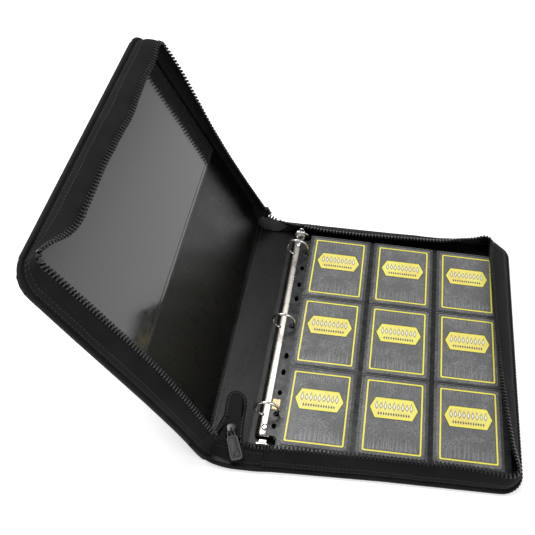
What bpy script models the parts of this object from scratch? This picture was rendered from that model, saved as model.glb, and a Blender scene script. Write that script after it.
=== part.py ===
"""Zip-around three-ring binder for nine-pocket card pages, lying open.

Metres, +Z up.  X runs from the spine to the free edge of the back cover, Y runs along the spine and
Z = 0 is the surface the back cover lies on.  Sizes are laid out from the foot of the middle ring;
ORIGIN then puts the world's origin under the middle of the open binder.
"""
from math import acos, atan2, cos, pi, radians, sin

import bmesh
import bpy
from mathutils import Vector

# ---------------------------------------------------------------- driving dimensions (metres)
MM = 0.001
GAP = 0.3 * MM
ORIGIN = (-41.471 * MM, -2.0 * MM, 0.0)      # foot of the middle ring in the world

COVER_NEAR_Y = -161 * MM          # near edge of all covers
COVER_FAR_Y = 165 * MM            # far edge of all covers
COVER_WIDTH = 262 * MM            # fold axis to free edge
COVER_CORNER = 22 * MM            # free corner radius
GUTTER = 2.5 * MM                 # each layer starts this far from a fold axis
FOLD_HEIGHT = 2.0 * MM            # fold axes run at this height inside the cover thickness
SKIN = (0.0, 0.8 * MM)            # outer skin, bottom and top
BOARD = (1.1 * MM, 2.3 * MM)      # stiffening board
LINING = (2.6 * MM, 3.4 * MM)     # inner lining
BACK_FOLD_X = -13.5 * MM
SPINE_WIDTH = 38 * MM             # fold axis to fold axis
SPINE_TILT = radians(7.0)         # spine raised from the table as it lies
FRONT_ANGLE = radians(64.5)       # front cover raised from the table as it lies

WALL_FOOT = 3.7 * MM              # gusset wall, bottom
WALL_TOP = 14.0 * MM
TAPE_TOP = 18.3 * MM              # zip tape above the wall
COIL_HEIGHT = 19.4 * MM           # centre of the zip coil
COIL_RADIUS = 1.0 * MM
WALL_FOOT_INSET = 4.0 * MM        # wall from the cover edge at its foot
WALL_THICK = 1.2 * MM
TAPE_THICK = 0.7 * MM
BACK_WALL_START = 18 * MM         # walls start this far from the fold axis
FRONT_WALL_START = 21 * MM
BACK_LEAN = (12 * MM, 8.5 * MM, 14 * MM)     # inset at the top: near, free and far side
FRONT_LEAN = (13 * MM, 12 * MM, 15 * MM)
PIPING_RADIUS = 1.6 * MM

POCKET_INNER = 117 * MM           # clear pocket, from the fold axis
POCKET_INSET = 9 * MM             # from the cover edge

RING_SPACING = 108 * MM
RING_RADIUS = 11.55 * MM          # wire centre line
RING_WIRE = 1.3 * MM
RING_CENTRE_Z = 20.9 * MM
RING_FOOT_X = 4.2 * MM
RING_FOOT_Z = 7.4 * MM
RAIL_Z = (6.2 * MM, 7.1 * MM)
RAIL_X = (0.25 * MM, 5.3 * MM)
RAIL_HALF_LENGTH = 113 * MM
PLATE_HALF_LENGTH = 131 * MM
PLATE_HALF_WIDTH = 6.8 * MM
PLATE_BASE = 3.7 * MM
PLATE_TOP = 10.6 * MM
PLATE_THICK = 0.9 * MM
RIVET_Y = 122 * MM
LEVER_WIDTH = 9.2 * MM
LEVER_PIVOT_Y = 133 * MM
LEVER_PIVOT_Z = 6.4 * MM

PAGE_ANGLE = radians(1.3)         # page slopes down to the free edge
PAGE_LEFT = 1.9 * MM
PAGE_WIDTH = 235.5 * MM
PAGE_HEIGHT = 283 * MM
PAGE_CENTRE_Y = -4.8 * MM
PAGE_DROP = 7.3 * MM              # page below the ring centre
FILM_THICK = 0.5 * MM
CARD_THICK = 0.6 * MM
HOLE_X = 8.9 * MM
RING_HOLE = (3.0 * MM, 3.0 * MM)  # half width and half length
ROUND_HOLE = (2.3 * MM, 3.0 * MM)
OVAL_HOLE = (2.3 * MM, 3.8 * MM)
HOLES = ((0.0, RING_HOLE), (38.5 * MM, OVAL_HOLE), (59 * MM, OVAL_HOLE),
         (83.5 * MM, ROUND_HOLE), (108 * MM, RING_HOLE), (121.5 * MM, ROUND_HOLE))
CARD_SIZE = (63 * MM, 88 * MM)
CARD_PITCH = (73.9 * MM, 93.1 * MM)
CARD_CORNER = 3 * MM
MIDDLE_CARD = (122.5 * MM, -3.0 * MM)

SLIDER_Y = -128 * MM
PIVOT_BACK = 3 * MM               # pull pivot in front of the slider's middle
PIVOT_RISE = 1.4 * MM             # pull pivot above the slider's top
PULL_YAW = radians(22.5)
PULL_LENGTH = 25 * MM
PULL_WIDTH = 12.5 * MM


# ---------------------------------------------------------------- helpers
def clear_scene():
    for item in list(bpy.data.objects):
        bpy.data.objects.remove(item, do_unlink=True)


def material(name, colour, rough, metal=0.0, alpha=1.0):
    mat = bpy.data.materials.new(name)
    mat.use_nodes = True
    shader = mat.node_tree.nodes["Principled BSDF"]
    shader.inputs["Base Color"].default_value = (*colour, 1.0)
    shader.inputs["Roughness"].default_value = rough
    shader.inputs["Metallic"].default_value = metal
    shader.inputs["Alpha"].default_value = alpha
    return mat


def frame(name, location, tilt=0.0, parent=None, yaw=0.0):
    """Empty that carries one moving body; tilt turns it about Y, yaw about Z."""
    empty = bpy.data.objects.new(name, None)
    bpy.context.scene.collection.objects.link(empty)
    empty.location = location
    empty.rotation_euler = (0.0, tilt, yaw)
    empty.parent = parent
    return empty


def add(name, bm, colour, rough, metal=0.0, alpha=1.0, parent=None, smooth=False):
    """Turns a bmesh into a named object with its own material."""
    bmesh.ops.recalc_face_normals(bm, faces=bm.faces)
    mesh = bpy.data.meshes.new(name)
    bm.to_mesh(mesh)
    bm.free()
    mesh.materials.append(material(name + "_mat", colour, rough, metal, alpha))
    for face in mesh.polygons:
        face.use_smooth = smooth
    obj = bpy.data.objects.new(name, mesh)
    bpy.context.scene.collection.objects.link(obj)
    obj.parent = parent
    return obj


def skinned(loops):
    """Closed body through a row of equal loops of points, capped at both ends."""
    bm = bmesh.new()
    rings = [[bm.verts.new(point) for point in loop] for loop in loops]
    count = len(rings[0])
    for here, there in zip(rings, rings[1:]):
        for i in range(count):
            j = (i + 1) % count
            bm.faces.new((here[i], here[j], there[j], there[i]))
    bm.faces.new(rings[0][::-1])
    bm.faces.new(rings[-1])
    return bm


def plate(outline, low, high):
    """Upright prism over a flat outline."""
    return skinned([[(x, y, z) for x, y in outline] for z in (low, high)])


def bar(outline_xz, y_low, y_high):
    """Prism along Y over an outline in the XZ plane."""
    return skinned([[(x, y, z) for x, z in outline_xz] for y in (y_low, y_high)])


def arc(cx, cy, radius, start, stop, steps):
    turn = [start + (stop - start) * i / steps for i in range(steps + 1)]
    return [(cx + radius * cos(a), cy + radius * sin(a)) for a in turn]


def rounded_rectangle(x0, y0, x1, y1, radius, steps=5):
    points = []
    corners = ((x1, y0, -pi / 2), (x1, y1, 0.0), (x0, y1, pi / 2), (x0, y0, pi))
    for (x, y, start) in corners:
        cx = x - radius if x == x1 else x + radius
        cy = y - radius if y == y1 else y + radius
        points += arc(cx, cy, radius, start, start + pi / 2, steps)
    return points


def tube(path, radius, sides=10):
    """Round wire along a path of 3-D points."""
    loops = []
    side = None
    for i, point in enumerate(path):
        ahead = Vector(path[min(i + 1, len(path) - 1)]) - Vector(path[max(i - 1, 0)])
        ahead.normalize()
        if side is None:
            side = ahead.orthogonal().normalized()
        side = (side - ahead * side.dot(ahead)).normalized()
        up = ahead.cross(side)
        turns = [2 * pi * k / sides for k in range(sides)]
        loops.append([Vector(point) + radius * (cos(a) * side + sin(a) * up) for a in turns])
    return skinned(loops)


def cut(obj, cutter_bm):
    """Boolean cut, applied to the mesh."""
    mesh = bpy.data.meshes.new(obj.name + "_cutter")
    bmesh.ops.recalc_face_normals(cutter_bm, faces=cutter_bm.faces)
    cutter_bm.to_mesh(mesh)
    cutter_bm.free()
    cutter = bpy.data.objects.new(obj.name + "_cutter", mesh)
    bpy.context.scene.collection.objects.link(cutter)
    cutter.parent = obj.parent
    cutter.hide_render = True
    cutter.display_type = "WIRE"
    step = obj.modifiers.new("cut", "BOOLEAN")
    step.operation = "DIFFERENCE"
    step.solver = "EXACT"
    step.object = cutter


def joined(parts):
    """One bmesh holding several separate closed cutters."""
    whole = bmesh.new()
    for part in parts:
        mesh = bpy.data.meshes.new("part")
        part.to_mesh(mesh)
        part.free()
        whole.from_mesh(mesh)
        bpy.data.meshes.remove(mesh)
    return whole


# ---------------------------------------------------------------- covers
def edge_stations(start, lean, steps_side=8, steps_corner=7):
    """Stations round the three free edges: edge point, inward direction and lean at the top."""
    near, free, far = lean
    x_corner = COVER_WIDTH - COVER_CORNER
    y_near = COVER_NEAR_Y + COVER_CORNER
    y_far = COVER_FAR_Y - COVER_CORNER
    stations = []
    for i in range(steps_side + 1):
        x = start + (x_corner - start) * i / steps_side
        stations.append(((x, COVER_NEAR_Y), (0.0, 1.0), near))
    for centre_y, begin, first, last in ((y_near, -pi / 2, near, free), (y_far, 0.0, free, far)):
        for i in range(1, steps_corner + 1):
            share = i / steps_corner
            turn = begin + share * pi / 2
            edge = (x_corner + COVER_CORNER * cos(turn), centre_y + COVER_CORNER * sin(turn))
            stations.append((edge, (-cos(turn), -sin(turn)), first + (last - first) * share))
        if centre_y == y_near:
            for i in range(1, steps_side + 1):
                y = y_near + (y_far - y_near) * i / steps_side
                stations.append(((COVER_WIDTH, y), (-1.0, 0.0), free))
    for i in range(1, steps_side + 1):
        x = x_corner + (start - x_corner) * i / steps_side
        stations.append(((x, COVER_FAR_Y), (0.0, -1.0), far))
    return stations


def wall_inset(z, lean):
    """Inset of the leaning wall's outer face at a height, given its lean at the coil."""
    share = max(0.0, (z - WALL_FOOT) / (COIL_HEIGHT - WALL_FOOT))
    return WALL_FOOT_INSET + (lean - WALL_FOOT_INSET) * share ** 1.6


def edge_band(stations, heights, thick, side):
    """Band of one thickness that follows the leaning wall between some heights."""
    loops = []
    for edge, inward, lean in stations:
        outer = [(wall_inset(z, lean), z) for z in heights]
        inner = [(inset + thick, z) for inset, z in reversed(outer)]
        loops.append([(side * (edge[0] + inward[0] * inset), edge[1] + inward[1] * inset,
                       z - FOLD_HEIGHT) for inset, z in outer + inner])
    return skinned(loops)


def edge_rod(stations, inset_of, z, radius, side, sides=8):
    loops = []
    for edge, inward, lean in stations:
        inset = inset_of(lean)
        turns = [2 * pi * k / sides for k in range(sides)]
        loops.append([(side * (edge[0] + inward[0] * (inset + radius * cos(a))),
                       edge[1] + inward[1] * (inset + radius * cos(a)),
                       z + radius * sin(a) - FOLD_HEIGHT) for a in turns])
    return skinned(loops)


def cover_outline(inner, inset, side):
    """Flat outline of a cover layer from the gutter to the free edge."""
    x1 = COVER_WIDTH - inset
    y0 = COVER_NEAR_Y + inset
    y1 = COVER_FAR_Y - inset
    radius = COVER_CORNER - inset
    points = [(inner, y0)]
    points += arc(x1 - radius, y0 + radius, radius, -pi / 2, 0.0, 8)
    points += arc(x1 - radius, y1 - radius, radius, 0.0, pi / 2, 8)
    points.append((inner, y1))
    return [(side * x, y) for x, y in points]


def layer(name, outline, span, colour, rough, parent):
    low, high = span
    bm = plate(outline, low - FOLD_HEIGHT, high - FOLD_HEIGHT)
    return add(name, bm, colour, rough, parent=parent)


def cover(prefix, parent, side, lean, wall_start):
    """Skin, board, lining, piping, gusset wall, zip tape and coil of one cover."""
    black = (0.012, 0.012, 0.013)
    layer(prefix + "_outer_cover", cover_outline(GUTTER, 0.6 * MM, side), SKIN, black, 0.5, parent)
    layer(prefix + "_board", cover_outline(GUTTER, 3.6 * MM, side), BOARD, (0.2, 0.18, 0.15), 0.9,
          parent)
    layer(prefix + "_lining", cover_outline(GUTTER, 3.6 * MM, side), LINING, (0.02, 0.02, 0.02),
          0.35, parent)
    piping_z = SKIN[1] + GAP + PIPING_RADIUS
    stations = edge_stations(GUTTER, lean)
    add(prefix + "_piping",
        edge_rod(stations, lambda _: PIPING_RADIUS, piping_z, PIPING_RADIUS, side),
        black, 0.6, parent=parent, smooth=True)
    stations = edge_stations(wall_start, lean)
    rise = [WALL_FOOT + (WALL_TOP - WALL_FOOT) * i / 4 for i in range(5)]
    add(prefix + "_gusset", edge_band(stations, rise, WALL_THICK, side), black, 0.8, parent=parent)
    rise = [WALL_TOP + GAP + (TAPE_TOP - WALL_TOP - GAP) * i / 2 for i in range(3)]
    add(prefix + "_zip_tape", edge_band(stations, rise, TAPE_THICK, side), black, 0.9,
        parent=parent)
    add(prefix + "_zip_coil",
        edge_rod(stations, lambda top: top + TAPE_THICK / 2, COIL_HEIGHT + 0.2 * MM, COIL_RADIUS,
                 side), (0.02, 0.02, 0.022), 0.4, parent=parent, smooth=True)


def hinge_skin(name, parent, bend):
    """Strip of outer skin that wraps under one fold axis."""
    reach = GUTTER - GAP
    depth_low = FOLD_HEIGHT - SKIN[0]
    depth_high = FOLD_HEIGHT - SKIN[1]
    steps = max(2, round(bend / radians(8)))
    low = [(reach, -depth_low)]
    high = [(reach, -depth_high)]
    for i in range(steps + 1):
        turn = bend * i / steps
        low.append((-depth_low * sin(turn), -depth_low * cos(turn)))
        high.append((-depth_high * sin(turn), -depth_high * cos(turn)))
    for line, depth in ((low, depth_low), (high, depth_high)):
        line.append((-reach * cos(bend) - depth * sin(bend), reach * sin(bend) - depth * cos(bend)))
    inset = 0.6 * MM
    bm = bar(low + high[::-1], COVER_NEAR_Y + inset, COVER_FAR_Y - inset)
    add(name, bm, (0.012, 0.012, 0.013), 0.55, parent=parent)


# ---------------------------------------------------------------- spine
def ridge(name, parent, profile, near, far):
    """Gathered gusset at a spine end: a soft ridge, lower towards both folds."""
    loops = []
    steps = 10
    for i in range(steps + 1):
        share = i / steps
        x = near + (far - near) * share
        height = 0.55 + 0.45 * sin(pi * share)
        base = profile[0][1]
        loops.append([(x, y, base + (z - base) * height) for y, z in profile])
    add(name, skinned(loops), (0.014, 0.014, 0.015), 0.85, parent=parent)


def spine(parent):
    near = -GUTTER
    far = -(SPINE_WIDTH - GUTTER)
    for name, span, inset, colour, rough in (
            ("spine_outer_cover", SKIN, 0.6 * MM, (0.012, 0.012, 0.013), 0.5),
            ("spine_board", BOARD, 3.6 * MM, (0.2, 0.18, 0.15), 0.9),
            ("spine_lining", LINING, 3.6 * MM, (0.02, 0.02, 0.02), 0.4)):
        outline = [(far, COVER_NEAR_Y + inset), (near, COVER_NEAR_Y + inset),
                   (near, COVER_FAR_Y - inset), (far, COVER_FAR_Y - inset)]
        layer(name, outline, span, colour, rough, parent)
    middle = -SPINE_WIDTH / 2
    base = LINING[1] + GAP - FOLD_HEIGHT

    top_y = -82 * MM
    round_radius = 10 * MM
    foot = 15.5 * MM
    outline = [(middle - foot, -138 * MM), (middle + foot, -138 * MM)]
    outline += arc(middle, top_y - round_radius, round_radius, 0.0, pi, 12)
    add("zip_garage", plate(outline, base, base + 0.8 * MM), (0.015, 0.015, 0.016), 0.6,
        parent=parent)

    near_profile = [(-158.5 * MM, base), (-158.5 * MM, 3.5 * MM), (-156 * MM, 5.6 * MM),
                    (-151 * MM, 6.8 * MM), (-146 * MM, 6.0 * MM), (-140.2 * MM, 3.4 * MM),
                    (-139.2 * MM, base)]
    ridge("spine_gusset_near", parent, near_profile, -5 * MM, -33 * MM)
    far_profile = [(147 * MM, base), (148 * MM, 4.5 * MM), (152 * MM, 8.5 * MM),
                   (157 * MM, 9.5 * MM), (160.5 * MM, 7.0 * MM), (161.5 * MM, base)]
    ridge("spine_gusset_far", parent, far_profile, -5 * MM, -33 * MM)


# ---------------------------------------------------------------- zip slider and pull
def slider(parent):
    low = LINING[1] - FOLD_HEIGHT + 1.5 * MM
    outline = [(-4.5 * MM, -3 * MM), (-3.2 * MM, -6 * MM), (3.2 * MM, -6 * MM), (4.5 * MM, -3 * MM),
               (4.2 * MM, 3 * MM), (2.4 * MM, 6 * MM), (-2.4 * MM, 6 * MM), (-4.2 * MM, 3 * MM)]
    top = low + 4.2 * MM
    bm = plate(outline, low, top)
    body = add("zip_slider", bm, (0.03, 0.03, 0.03), 0.35, 0.8, parent=parent)
    z0, z1 = low + 1.2 * MM, low + 3.0 * MM
    channels = []
    for side in (-1, 1):
        x0, x1 = side * 2.45 * MM, side * 4.75 * MM
        channels.append(bar([(x0, z0), (x1, z0), (x1, z1), (x0, z1)], -7 * MM, 7 * MM))
    cut(body, joined(channels))
    foot = top + GAP
    outer = [(-3.0, 0.0), (-3.0, 2.3), (-2.2, 2.9), (2.2, 2.9), (3.0, 2.3), (3.0, 0.0)]
    inner = [(2.0, 0.0), (2.0, 1.7), (1.6, 2.0), (-1.6, 2.0), (-2.0, 1.7), (-2.0, 0.0)]
    loops = []
    for x in (-1.0 * MM, 1.0 * MM):
        loops.append([(x, y * MM - PIVOT_BACK, foot + z * MM) for y, z in outer + inner])
    add("slider_bridge", skinned(loops), (0.03, 0.03, 0.03), 0.35, 0.8, parent=parent)
    return top


def pull(parent):
    """Link and rubber pull; they point along -Y from the pivot and slope a little down."""
    reach = 5.5 * MM
    half = 3.4 * MM
    path = [(-half, -reach, 0.0), (-half, -1.4 * MM, 0.0), (-2.2 * MM, 0.0, 0.0),
            (2.2 * MM, 0.0, 0.0), (half, -1.4 * MM, 0.0), (half, -reach, 0.0)]
    add("pull_link", tube(path, 0.7 * MM, 8), (0.3, 0.3, 0.31), 0.3, 1.0, parent=parent,
        smooth=True)
    start = -reach - GAP
    outline = rounded_rectangle(-PULL_WIDTH / 2, start - PULL_LENGTH, PULL_WIDTH / 2, start,
                                3.0 * MM, 4)
    add("pull_tab", plate(outline, -1.1 * MM, 1.1 * MM), (0.03, 0.03, 0.03), 0.55, parent=parent)


# ---------------------------------------------------------------- ring mechanism
def plate_section(shrink):
    """Arched section of the ring plate, shrunk by a wall thickness for its inside."""
    half = PLATE_HALF_WIDTH - shrink
    top = PLATE_TOP - shrink
    rise = top - PLATE_BASE
    right = [(half, PLATE_BASE), (half, PLATE_BASE + 0.60 * rise),
             (half * 0.86, PLATE_BASE + 0.84 * rise), (half * 0.47, PLATE_BASE + 0.96 * rise)]
    left = [(-x, z) for x, z in reversed(right)]
    return right + [(0.0, top)] + left


def ring_plate(parent):
    outer = plate_section(0.0)
    inner = plate_section(PLATE_THICK)
    body = add("ring_plate", bar(outer + inner[::-1], -PLATE_HALF_LENGTH, PLATE_HALF_LENGTH),
               (0.78, 0.77, 0.75), 0.18, 1.0, parent=parent)
    holes = []
    for line in (-1, 0, 1):
        y = line * RING_SPACING
        for side in (-1, 1):
            x0, x1 = sorted((side * 2.4 * MM, side * 6.0 * MM))
            slot = rounded_rectangle(x0, y - 1.75 * MM, x1, y + 1.75 * MM, 1.5 * MM, 3)
            holes.append(plate(slot, PLATE_BASE + 2 * MM, PLATE_TOP + 1 * MM))
    for side in (-1, 1):
        round_hole = arc(0.0, side * RIVET_Y, 2.2 * MM, 0.0, 2 * pi * 15 / 16, 15)
        holes.append(plate(round_hole, PLATE_BASE + 3 * MM, PLATE_TOP + 1 * MM))
    cut(body, joined(holes))


def rivet(name, y, parent):
    """Domed mounting rivet: shank through the plate, head above it."""
    head = 3.3 * MM
    shank = 1.9 * MM
    under = PLATE_TOP + GAP
    profile = [(shank, PLATE_BASE), (shank, under), (head, under), (head * 0.92, under + 0.6 * MM),
               (head * 0.6, under + 1.2 * MM)]
    steps = 20
    loops = []
    for i in range(steps):
        a = 2 * pi * i / steps
        loops.append([(r * cos(a), y + r * sin(a), z) for r, z in profile])
    bm = bmesh.new()
    rings = [[bm.verts.new(point) for point in loop] for loop in loops]
    top = bm.verts.new((0.0, y, under + 1.4 * MM))
    bottom = bm.verts.new((0.0, y, PLATE_BASE))
    for i in range(steps):
        here, there = rings[i], rings[(i + 1) % steps]
        for j in range(len(profile) - 1):
            bm.faces.new((here[j], there[j], there[j + 1], here[j + 1]))
        bm.faces.new((here[-1], there[-1], top))
        bm.faces.new((there[0], here[0], bottom))
    add(name, bm, (0.75, 0.74, 0.72), 0.2, 1.0, parent=parent, smooth=True)


def ring_half(name, side, y, parent, pivot):
    """Half ring from the split at the top down to its foot under the plate."""
    split = acos(GAP / 2 / RING_RADIUS)
    foot = -acos(RING_FOOT_X / RING_RADIUS)
    path = [(RING_RADIUS * cos(a), RING_CENTRE_Z + RING_RADIUS * sin(a))
            for a in [split + (foot - split) * i / 15 for i in range(16)]]
    path.append((RING_FOOT_X - 0.05 * MM, RING_FOOT_Z + 1.1 * MM))
    path.append((RING_FOOT_X - 0.05 * MM, RING_FOOT_Z))
    points = [(side * x - pivot[0], y, z - pivot[1]) for x, z in path]
    add(name, tube(points, RING_WIRE, 10), (0.8, 0.79, 0.77), 0.12, 1.0, parent=parent,
        smooth=True)


def rail(name, side, parent, pivot):
    x0, x1 = sorted((side * RAIL_X[0] - pivot[0], side * RAIL_X[1] - pivot[0]))
    low, high = RAIL_Z[0] - pivot[1], RAIL_Z[1] - pivot[1]
    add(name, bar([(x0, low), (x1, low), (x1, high), (x0, high)], -RAIL_HALF_LENGTH,
                  RAIL_HALF_LENGTH), (0.6, 0.6, 0.6), 0.3, 1.0, parent=parent)


def lever(name, end, parent):
    """Bent tongue that comes out of the plate end, turns up and rolls over at its tip."""
    spine_line = [(4.0, -1.0), (-1.5, -0.9), (-6.0, -0.6), (-9.2, 1.4), (-10.6, 4.4), (-10.0, 6.6),
                  (-8.0, 7.4), (-6.3, 6.5)]
    thick = 0.6
    upper, lower = [], []
    for i, (y, z) in enumerate(spine_line):
        before = spine_line[max(i - 1, 0)]
        after = spine_line[min(i + 1, len(spine_line) - 1)]
        turn = atan2(after[1] - before[1], after[0] - before[0])
        upper.append((y - thick * sin(turn), z + thick * cos(turn)))
        lower.append((y + thick * sin(turn), z - thick * cos(turn)))
    section = upper + lower[::-1]
    half = LEVER_WIDTH / 2
    loops = []
    for x in (-half, half):
        loops.append([(x, end * y * -MM, z * MM) for y, z in section])
    add(name, skinned(loops), (0.76, 0.75, 0.73), 0.2, 1.0, parent=parent)


# ---------------------------------------------------------------- page and cards
def page_outline():
    """Film outline with a notch at both corners beside the levers."""
    x0, x1 = PAGE_LEFT, PAGE_LEFT + PAGE_WIDTH
    y0 = PAGE_CENTRE_Y - PAGE_HEIGHT / 2
    y1 = PAGE_CENTRE_Y + PAGE_HEIGHT / 2
    notch_x = 13 * MM
    notch_near = -131.9 * MM
    notch_far = 127 * MM
    points = [(notch_x, y0), (x1, y0), (x1, y1), (notch_x, y1), (notch_x, notch_far + 2 * MM)]
    points += [(notch_x - 2 * MM, notch_far), (x0, notch_far), (x0, notch_near)]
    points += [(notch_x - 2 * MM, notch_near), (notch_x, notch_near - 2 * MM)]
    return points


def page(parent):
    low = -PAGE_DROP - FILM_THICK / 2
    film = add("page_film", plate(page_outline(), low, low + FILM_THICK), (0.12, 0.12, 0.13), 0.25,
               alpha=0.75, parent=parent)
    mirrored = [(-y, size) for y, size in HOLES if y > 0]
    holes = []
    for y, (wide, long) in list(HOLES) + mirrored:
        turns = [2 * pi * i / 14 for i in range(14)]
        points = [(HOLE_X + wide * cos(a), y + long * sin(a)) for a in turns]
        holes.append(plate(points, low - 1 * MM, low + FILM_THICK + 1 * MM))
    cut(film, joined(holes))

    card_low = low + FILM_THICK + GAP
    pocket_low = card_low + CARD_THICK + GAP
    for row in (1, 2, 3):
        for column in (1, 2, 3):
            x = MIDDLE_CARD[0] + (column - 2) * CARD_PITCH[0]
            y = MIDDLE_CARD[1] + (2 - row) * CARD_PITCH[1]
            outline = rounded_rectangle(x - CARD_SIZE[0] / 2, y - CARD_SIZE[1] / 2,
                                        x + CARD_SIZE[0] / 2, y + CARD_SIZE[1] / 2, CARD_CORNER, 4)
            add("card_%d%d" % (row, column), plate(outline, card_low, card_low + CARD_THICK),
                (0.1, 0.1, 0.1), 0.5, parent=parent)
    x0 = MIDDLE_CARD[0] - CARD_PITCH[0] * 1.5 + 2 * MM
    x1 = MIDDLE_CARD[0] + CARD_PITCH[0] * 1.5
    y0 = PAGE_CENTRE_Y - PAGE_HEIGHT / 2 + 1 * MM
    y1 = PAGE_CENTRE_Y + PAGE_HEIGHT / 2 - 1 * MM
    outline = [(x0, y0), (x1, y0), (x1, y1), (x0, y1)]
    add("page_pockets", plate(outline, pocket_low, pocket_low + 0.4 * MM), (0.3, 0.3, 0.31), 0.15,
        alpha=0.3, parent=parent)
    sticker = rounded_rectangle(3.5 * MM, -103.5 * MM, 11.0 * MM, -91.5 * MM, 1 * MM, 3)
    add("foil_sticker", plate(sticker, low + FILM_THICK + GAP, low + FILM_THICK + GAP + 0.25 * MM),
        (0.75, 0.62, 0.4), 0.35, 0.6, parent=parent)


# ---------------------------------------------------------------- assembly
def build():
    clear_scene()
    binder = frame("binder_frame", ORIGIN)
    back = frame("back_frame", (BACK_FOLD_X, 0.0, FOLD_HEIGHT), parent=binder)
    cover("back", back, 1, BACK_LEAN, BACK_WALL_START)

    spine_frame = frame("spine_frame", (BACK_FOLD_X, 0.0, FOLD_HEIGHT), SPINE_TILT, binder)
    spine(spine_frame)
    hinge_skin("hinge_skin_back", back, SPINE_TILT)

    front_x = BACK_FOLD_X - SPINE_WIDTH * cos(SPINE_TILT)
    front_z = FOLD_HEIGHT + SPINE_WIDTH * sin(SPINE_TILT)
    front = frame("front_frame", (front_x, 0.0, front_z), FRONT_ANGLE, binder)
    cover("front", front, -1, FRONT_LEAN, FRONT_WALL_START)
    fold_frame = frame("fold_frame", (front_x, 0.0, front_z), SPINE_TILT, binder)
    hinge_skin("hinge_skin_front", fold_frame, FRONT_ANGLE - SPINE_TILT)
    pocket = cover_outline(POCKET_INNER, POCKET_INSET, -1)
    low = LINING[1] + GAP
    layer("front_pocket", pocket, (low, low + 0.5 * MM), (0.25, 0.25, 0.26), 0.1, front)

    slider_frame = frame("slider_frame", (-SPINE_WIDTH / 2, SLIDER_Y, 0.0), parent=spine_frame)
    top = slider(slider_frame)
    pull_frame = frame("pull_frame", (0.0, -PIVOT_BACK, top + PIVOT_RISE), parent=slider_frame,
                       yaw=PULL_YAW)
    pull(pull_frame)

    mechanism = frame("mechanism_frame", (0.0, 0.0, 0.0), parent=binder)
    ring_plate(mechanism)
    rivet("plate_rivet_near", -RIVET_Y, mechanism)
    rivet("plate_rivet_far", RIVET_Y, mechanism)
    for word, side in (("left", -1), ("right", 1)):
        pivot = (side * RAIL_X[1], (RAIL_Z[0] + RAIL_Z[1]) / 2)
        turn = frame("rail_%s_frame" % word, (pivot[0], 0.0, pivot[1]), parent=binder)
        rail("ring_rail_" + word, side, turn, pivot)
        for number, y in ((1, RING_SPACING), (2, 0.0), (3, -RING_SPACING)):
            ring_half("ring_%s_%d" % (word, number), side, y, turn, pivot)
    for word, end in (("near", -1), ("far", 1)):
        place = frame("lever_%s_frame" % word, (0.0, end * LEVER_PIVOT_Y, LEVER_PIVOT_Z),
                      parent=binder)
        lever("lever_" + word, end, place)

    page(frame("page_frame", (0.0, 0.0, RING_CENTRE_Z), PAGE_ANGLE, binder))


build()
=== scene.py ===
"""Looks of an open zip-around ring binder with a page of cards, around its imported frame."""
from math import cos, pi, radians, sin

import bmesh
import bpy
import numpy as np
from mathutils import Matrix, Vector


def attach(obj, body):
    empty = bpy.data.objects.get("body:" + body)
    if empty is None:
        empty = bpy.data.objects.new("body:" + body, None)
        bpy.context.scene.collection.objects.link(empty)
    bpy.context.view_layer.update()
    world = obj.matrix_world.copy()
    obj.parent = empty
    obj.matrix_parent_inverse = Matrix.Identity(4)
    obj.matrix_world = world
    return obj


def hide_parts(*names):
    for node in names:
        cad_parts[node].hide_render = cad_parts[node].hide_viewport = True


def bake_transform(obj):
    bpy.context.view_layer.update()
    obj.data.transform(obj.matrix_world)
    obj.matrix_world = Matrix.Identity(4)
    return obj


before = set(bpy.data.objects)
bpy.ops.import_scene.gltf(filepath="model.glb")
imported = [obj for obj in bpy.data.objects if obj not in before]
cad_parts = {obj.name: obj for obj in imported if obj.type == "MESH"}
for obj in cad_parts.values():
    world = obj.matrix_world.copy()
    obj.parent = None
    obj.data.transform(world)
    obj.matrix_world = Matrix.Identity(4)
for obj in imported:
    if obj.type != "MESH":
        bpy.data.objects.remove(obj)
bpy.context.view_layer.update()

# ---- sizes (millimetres unless said)
MM = 0.001

COVER_NEAR, COVER_FAR = -161.0, 165.0      # near and far edge of the covers
COVER_WIDTH = 262.0                        # fold axis to free edge
COVER_CORNER = 22.0
GUTTER = 2.5
FOLD_HEIGHT = 2.0                          # a fold axis runs at this height in the covers
SKIN_TOP = 1.05                            # heights in a cover, from its outer face
BOARD_LOW, BOARD_TOP = 1.2, 2.3
LINING_LOW, LINING_TOP = 2.5, 3.4
POCKET_MOUTH, POCKET_INSET = 116.0, 9.0
SPINE_WIDTH = 38.0
PIPING_RADIUS = 1.7
WALL_FOOT_INSET = 3.6
TOOTH_PITCH = 3.8
STITCH_PITCH = 3.9
STITCH_LENGTH = 2.7

RING_LINES = {1: 108.0, 2: 0.0, 3: -108.0}
RING_RADIUS = 11.55
RING_WIRE = 1.3
RING_CENTRE_Z = 20.9
PLATE_BASE, PLATE_TOP = 3.7, 10.6
RIVET_Y = 122.0
LEVER_PIVOT = (133.0, 6.4)
LEVER_WIDTH = 9.2
WALL_STITCHES = (0.17, 0.42)               # shares of a wall's height, as are the next two
WALL_TOP = 0.93
TAPE_SPAN = (0.45, 0.97)

PAGE_LEFT, PAGE_RIGHT = 1.9, 237.4
PAGE_NEAR, PAGE_FAR = -146.3, 136.7
FILM = (-7.55, -7.05)                      # heights in the page's own frame
CARD = (-6.75, -6.15)
COLUMNS = (48.6, 122.5, 196.4)
ROWS = (90.1, -3.0, -96.1)
CARD_HALF, WINDOW_HALF = (31.5, 44.0), (34.4, 45.6)


def local_frame(origin, tilt):
    """Rotation and origin of a CAD frame that is tilted about Y, its -X side up."""
    c, s = cos(radians(tilt)), sin(radians(tilt))
    return np.array([[c, 0, s], [0, 1, 0], [-s, 0, c]]), np.array(origin)


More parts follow.
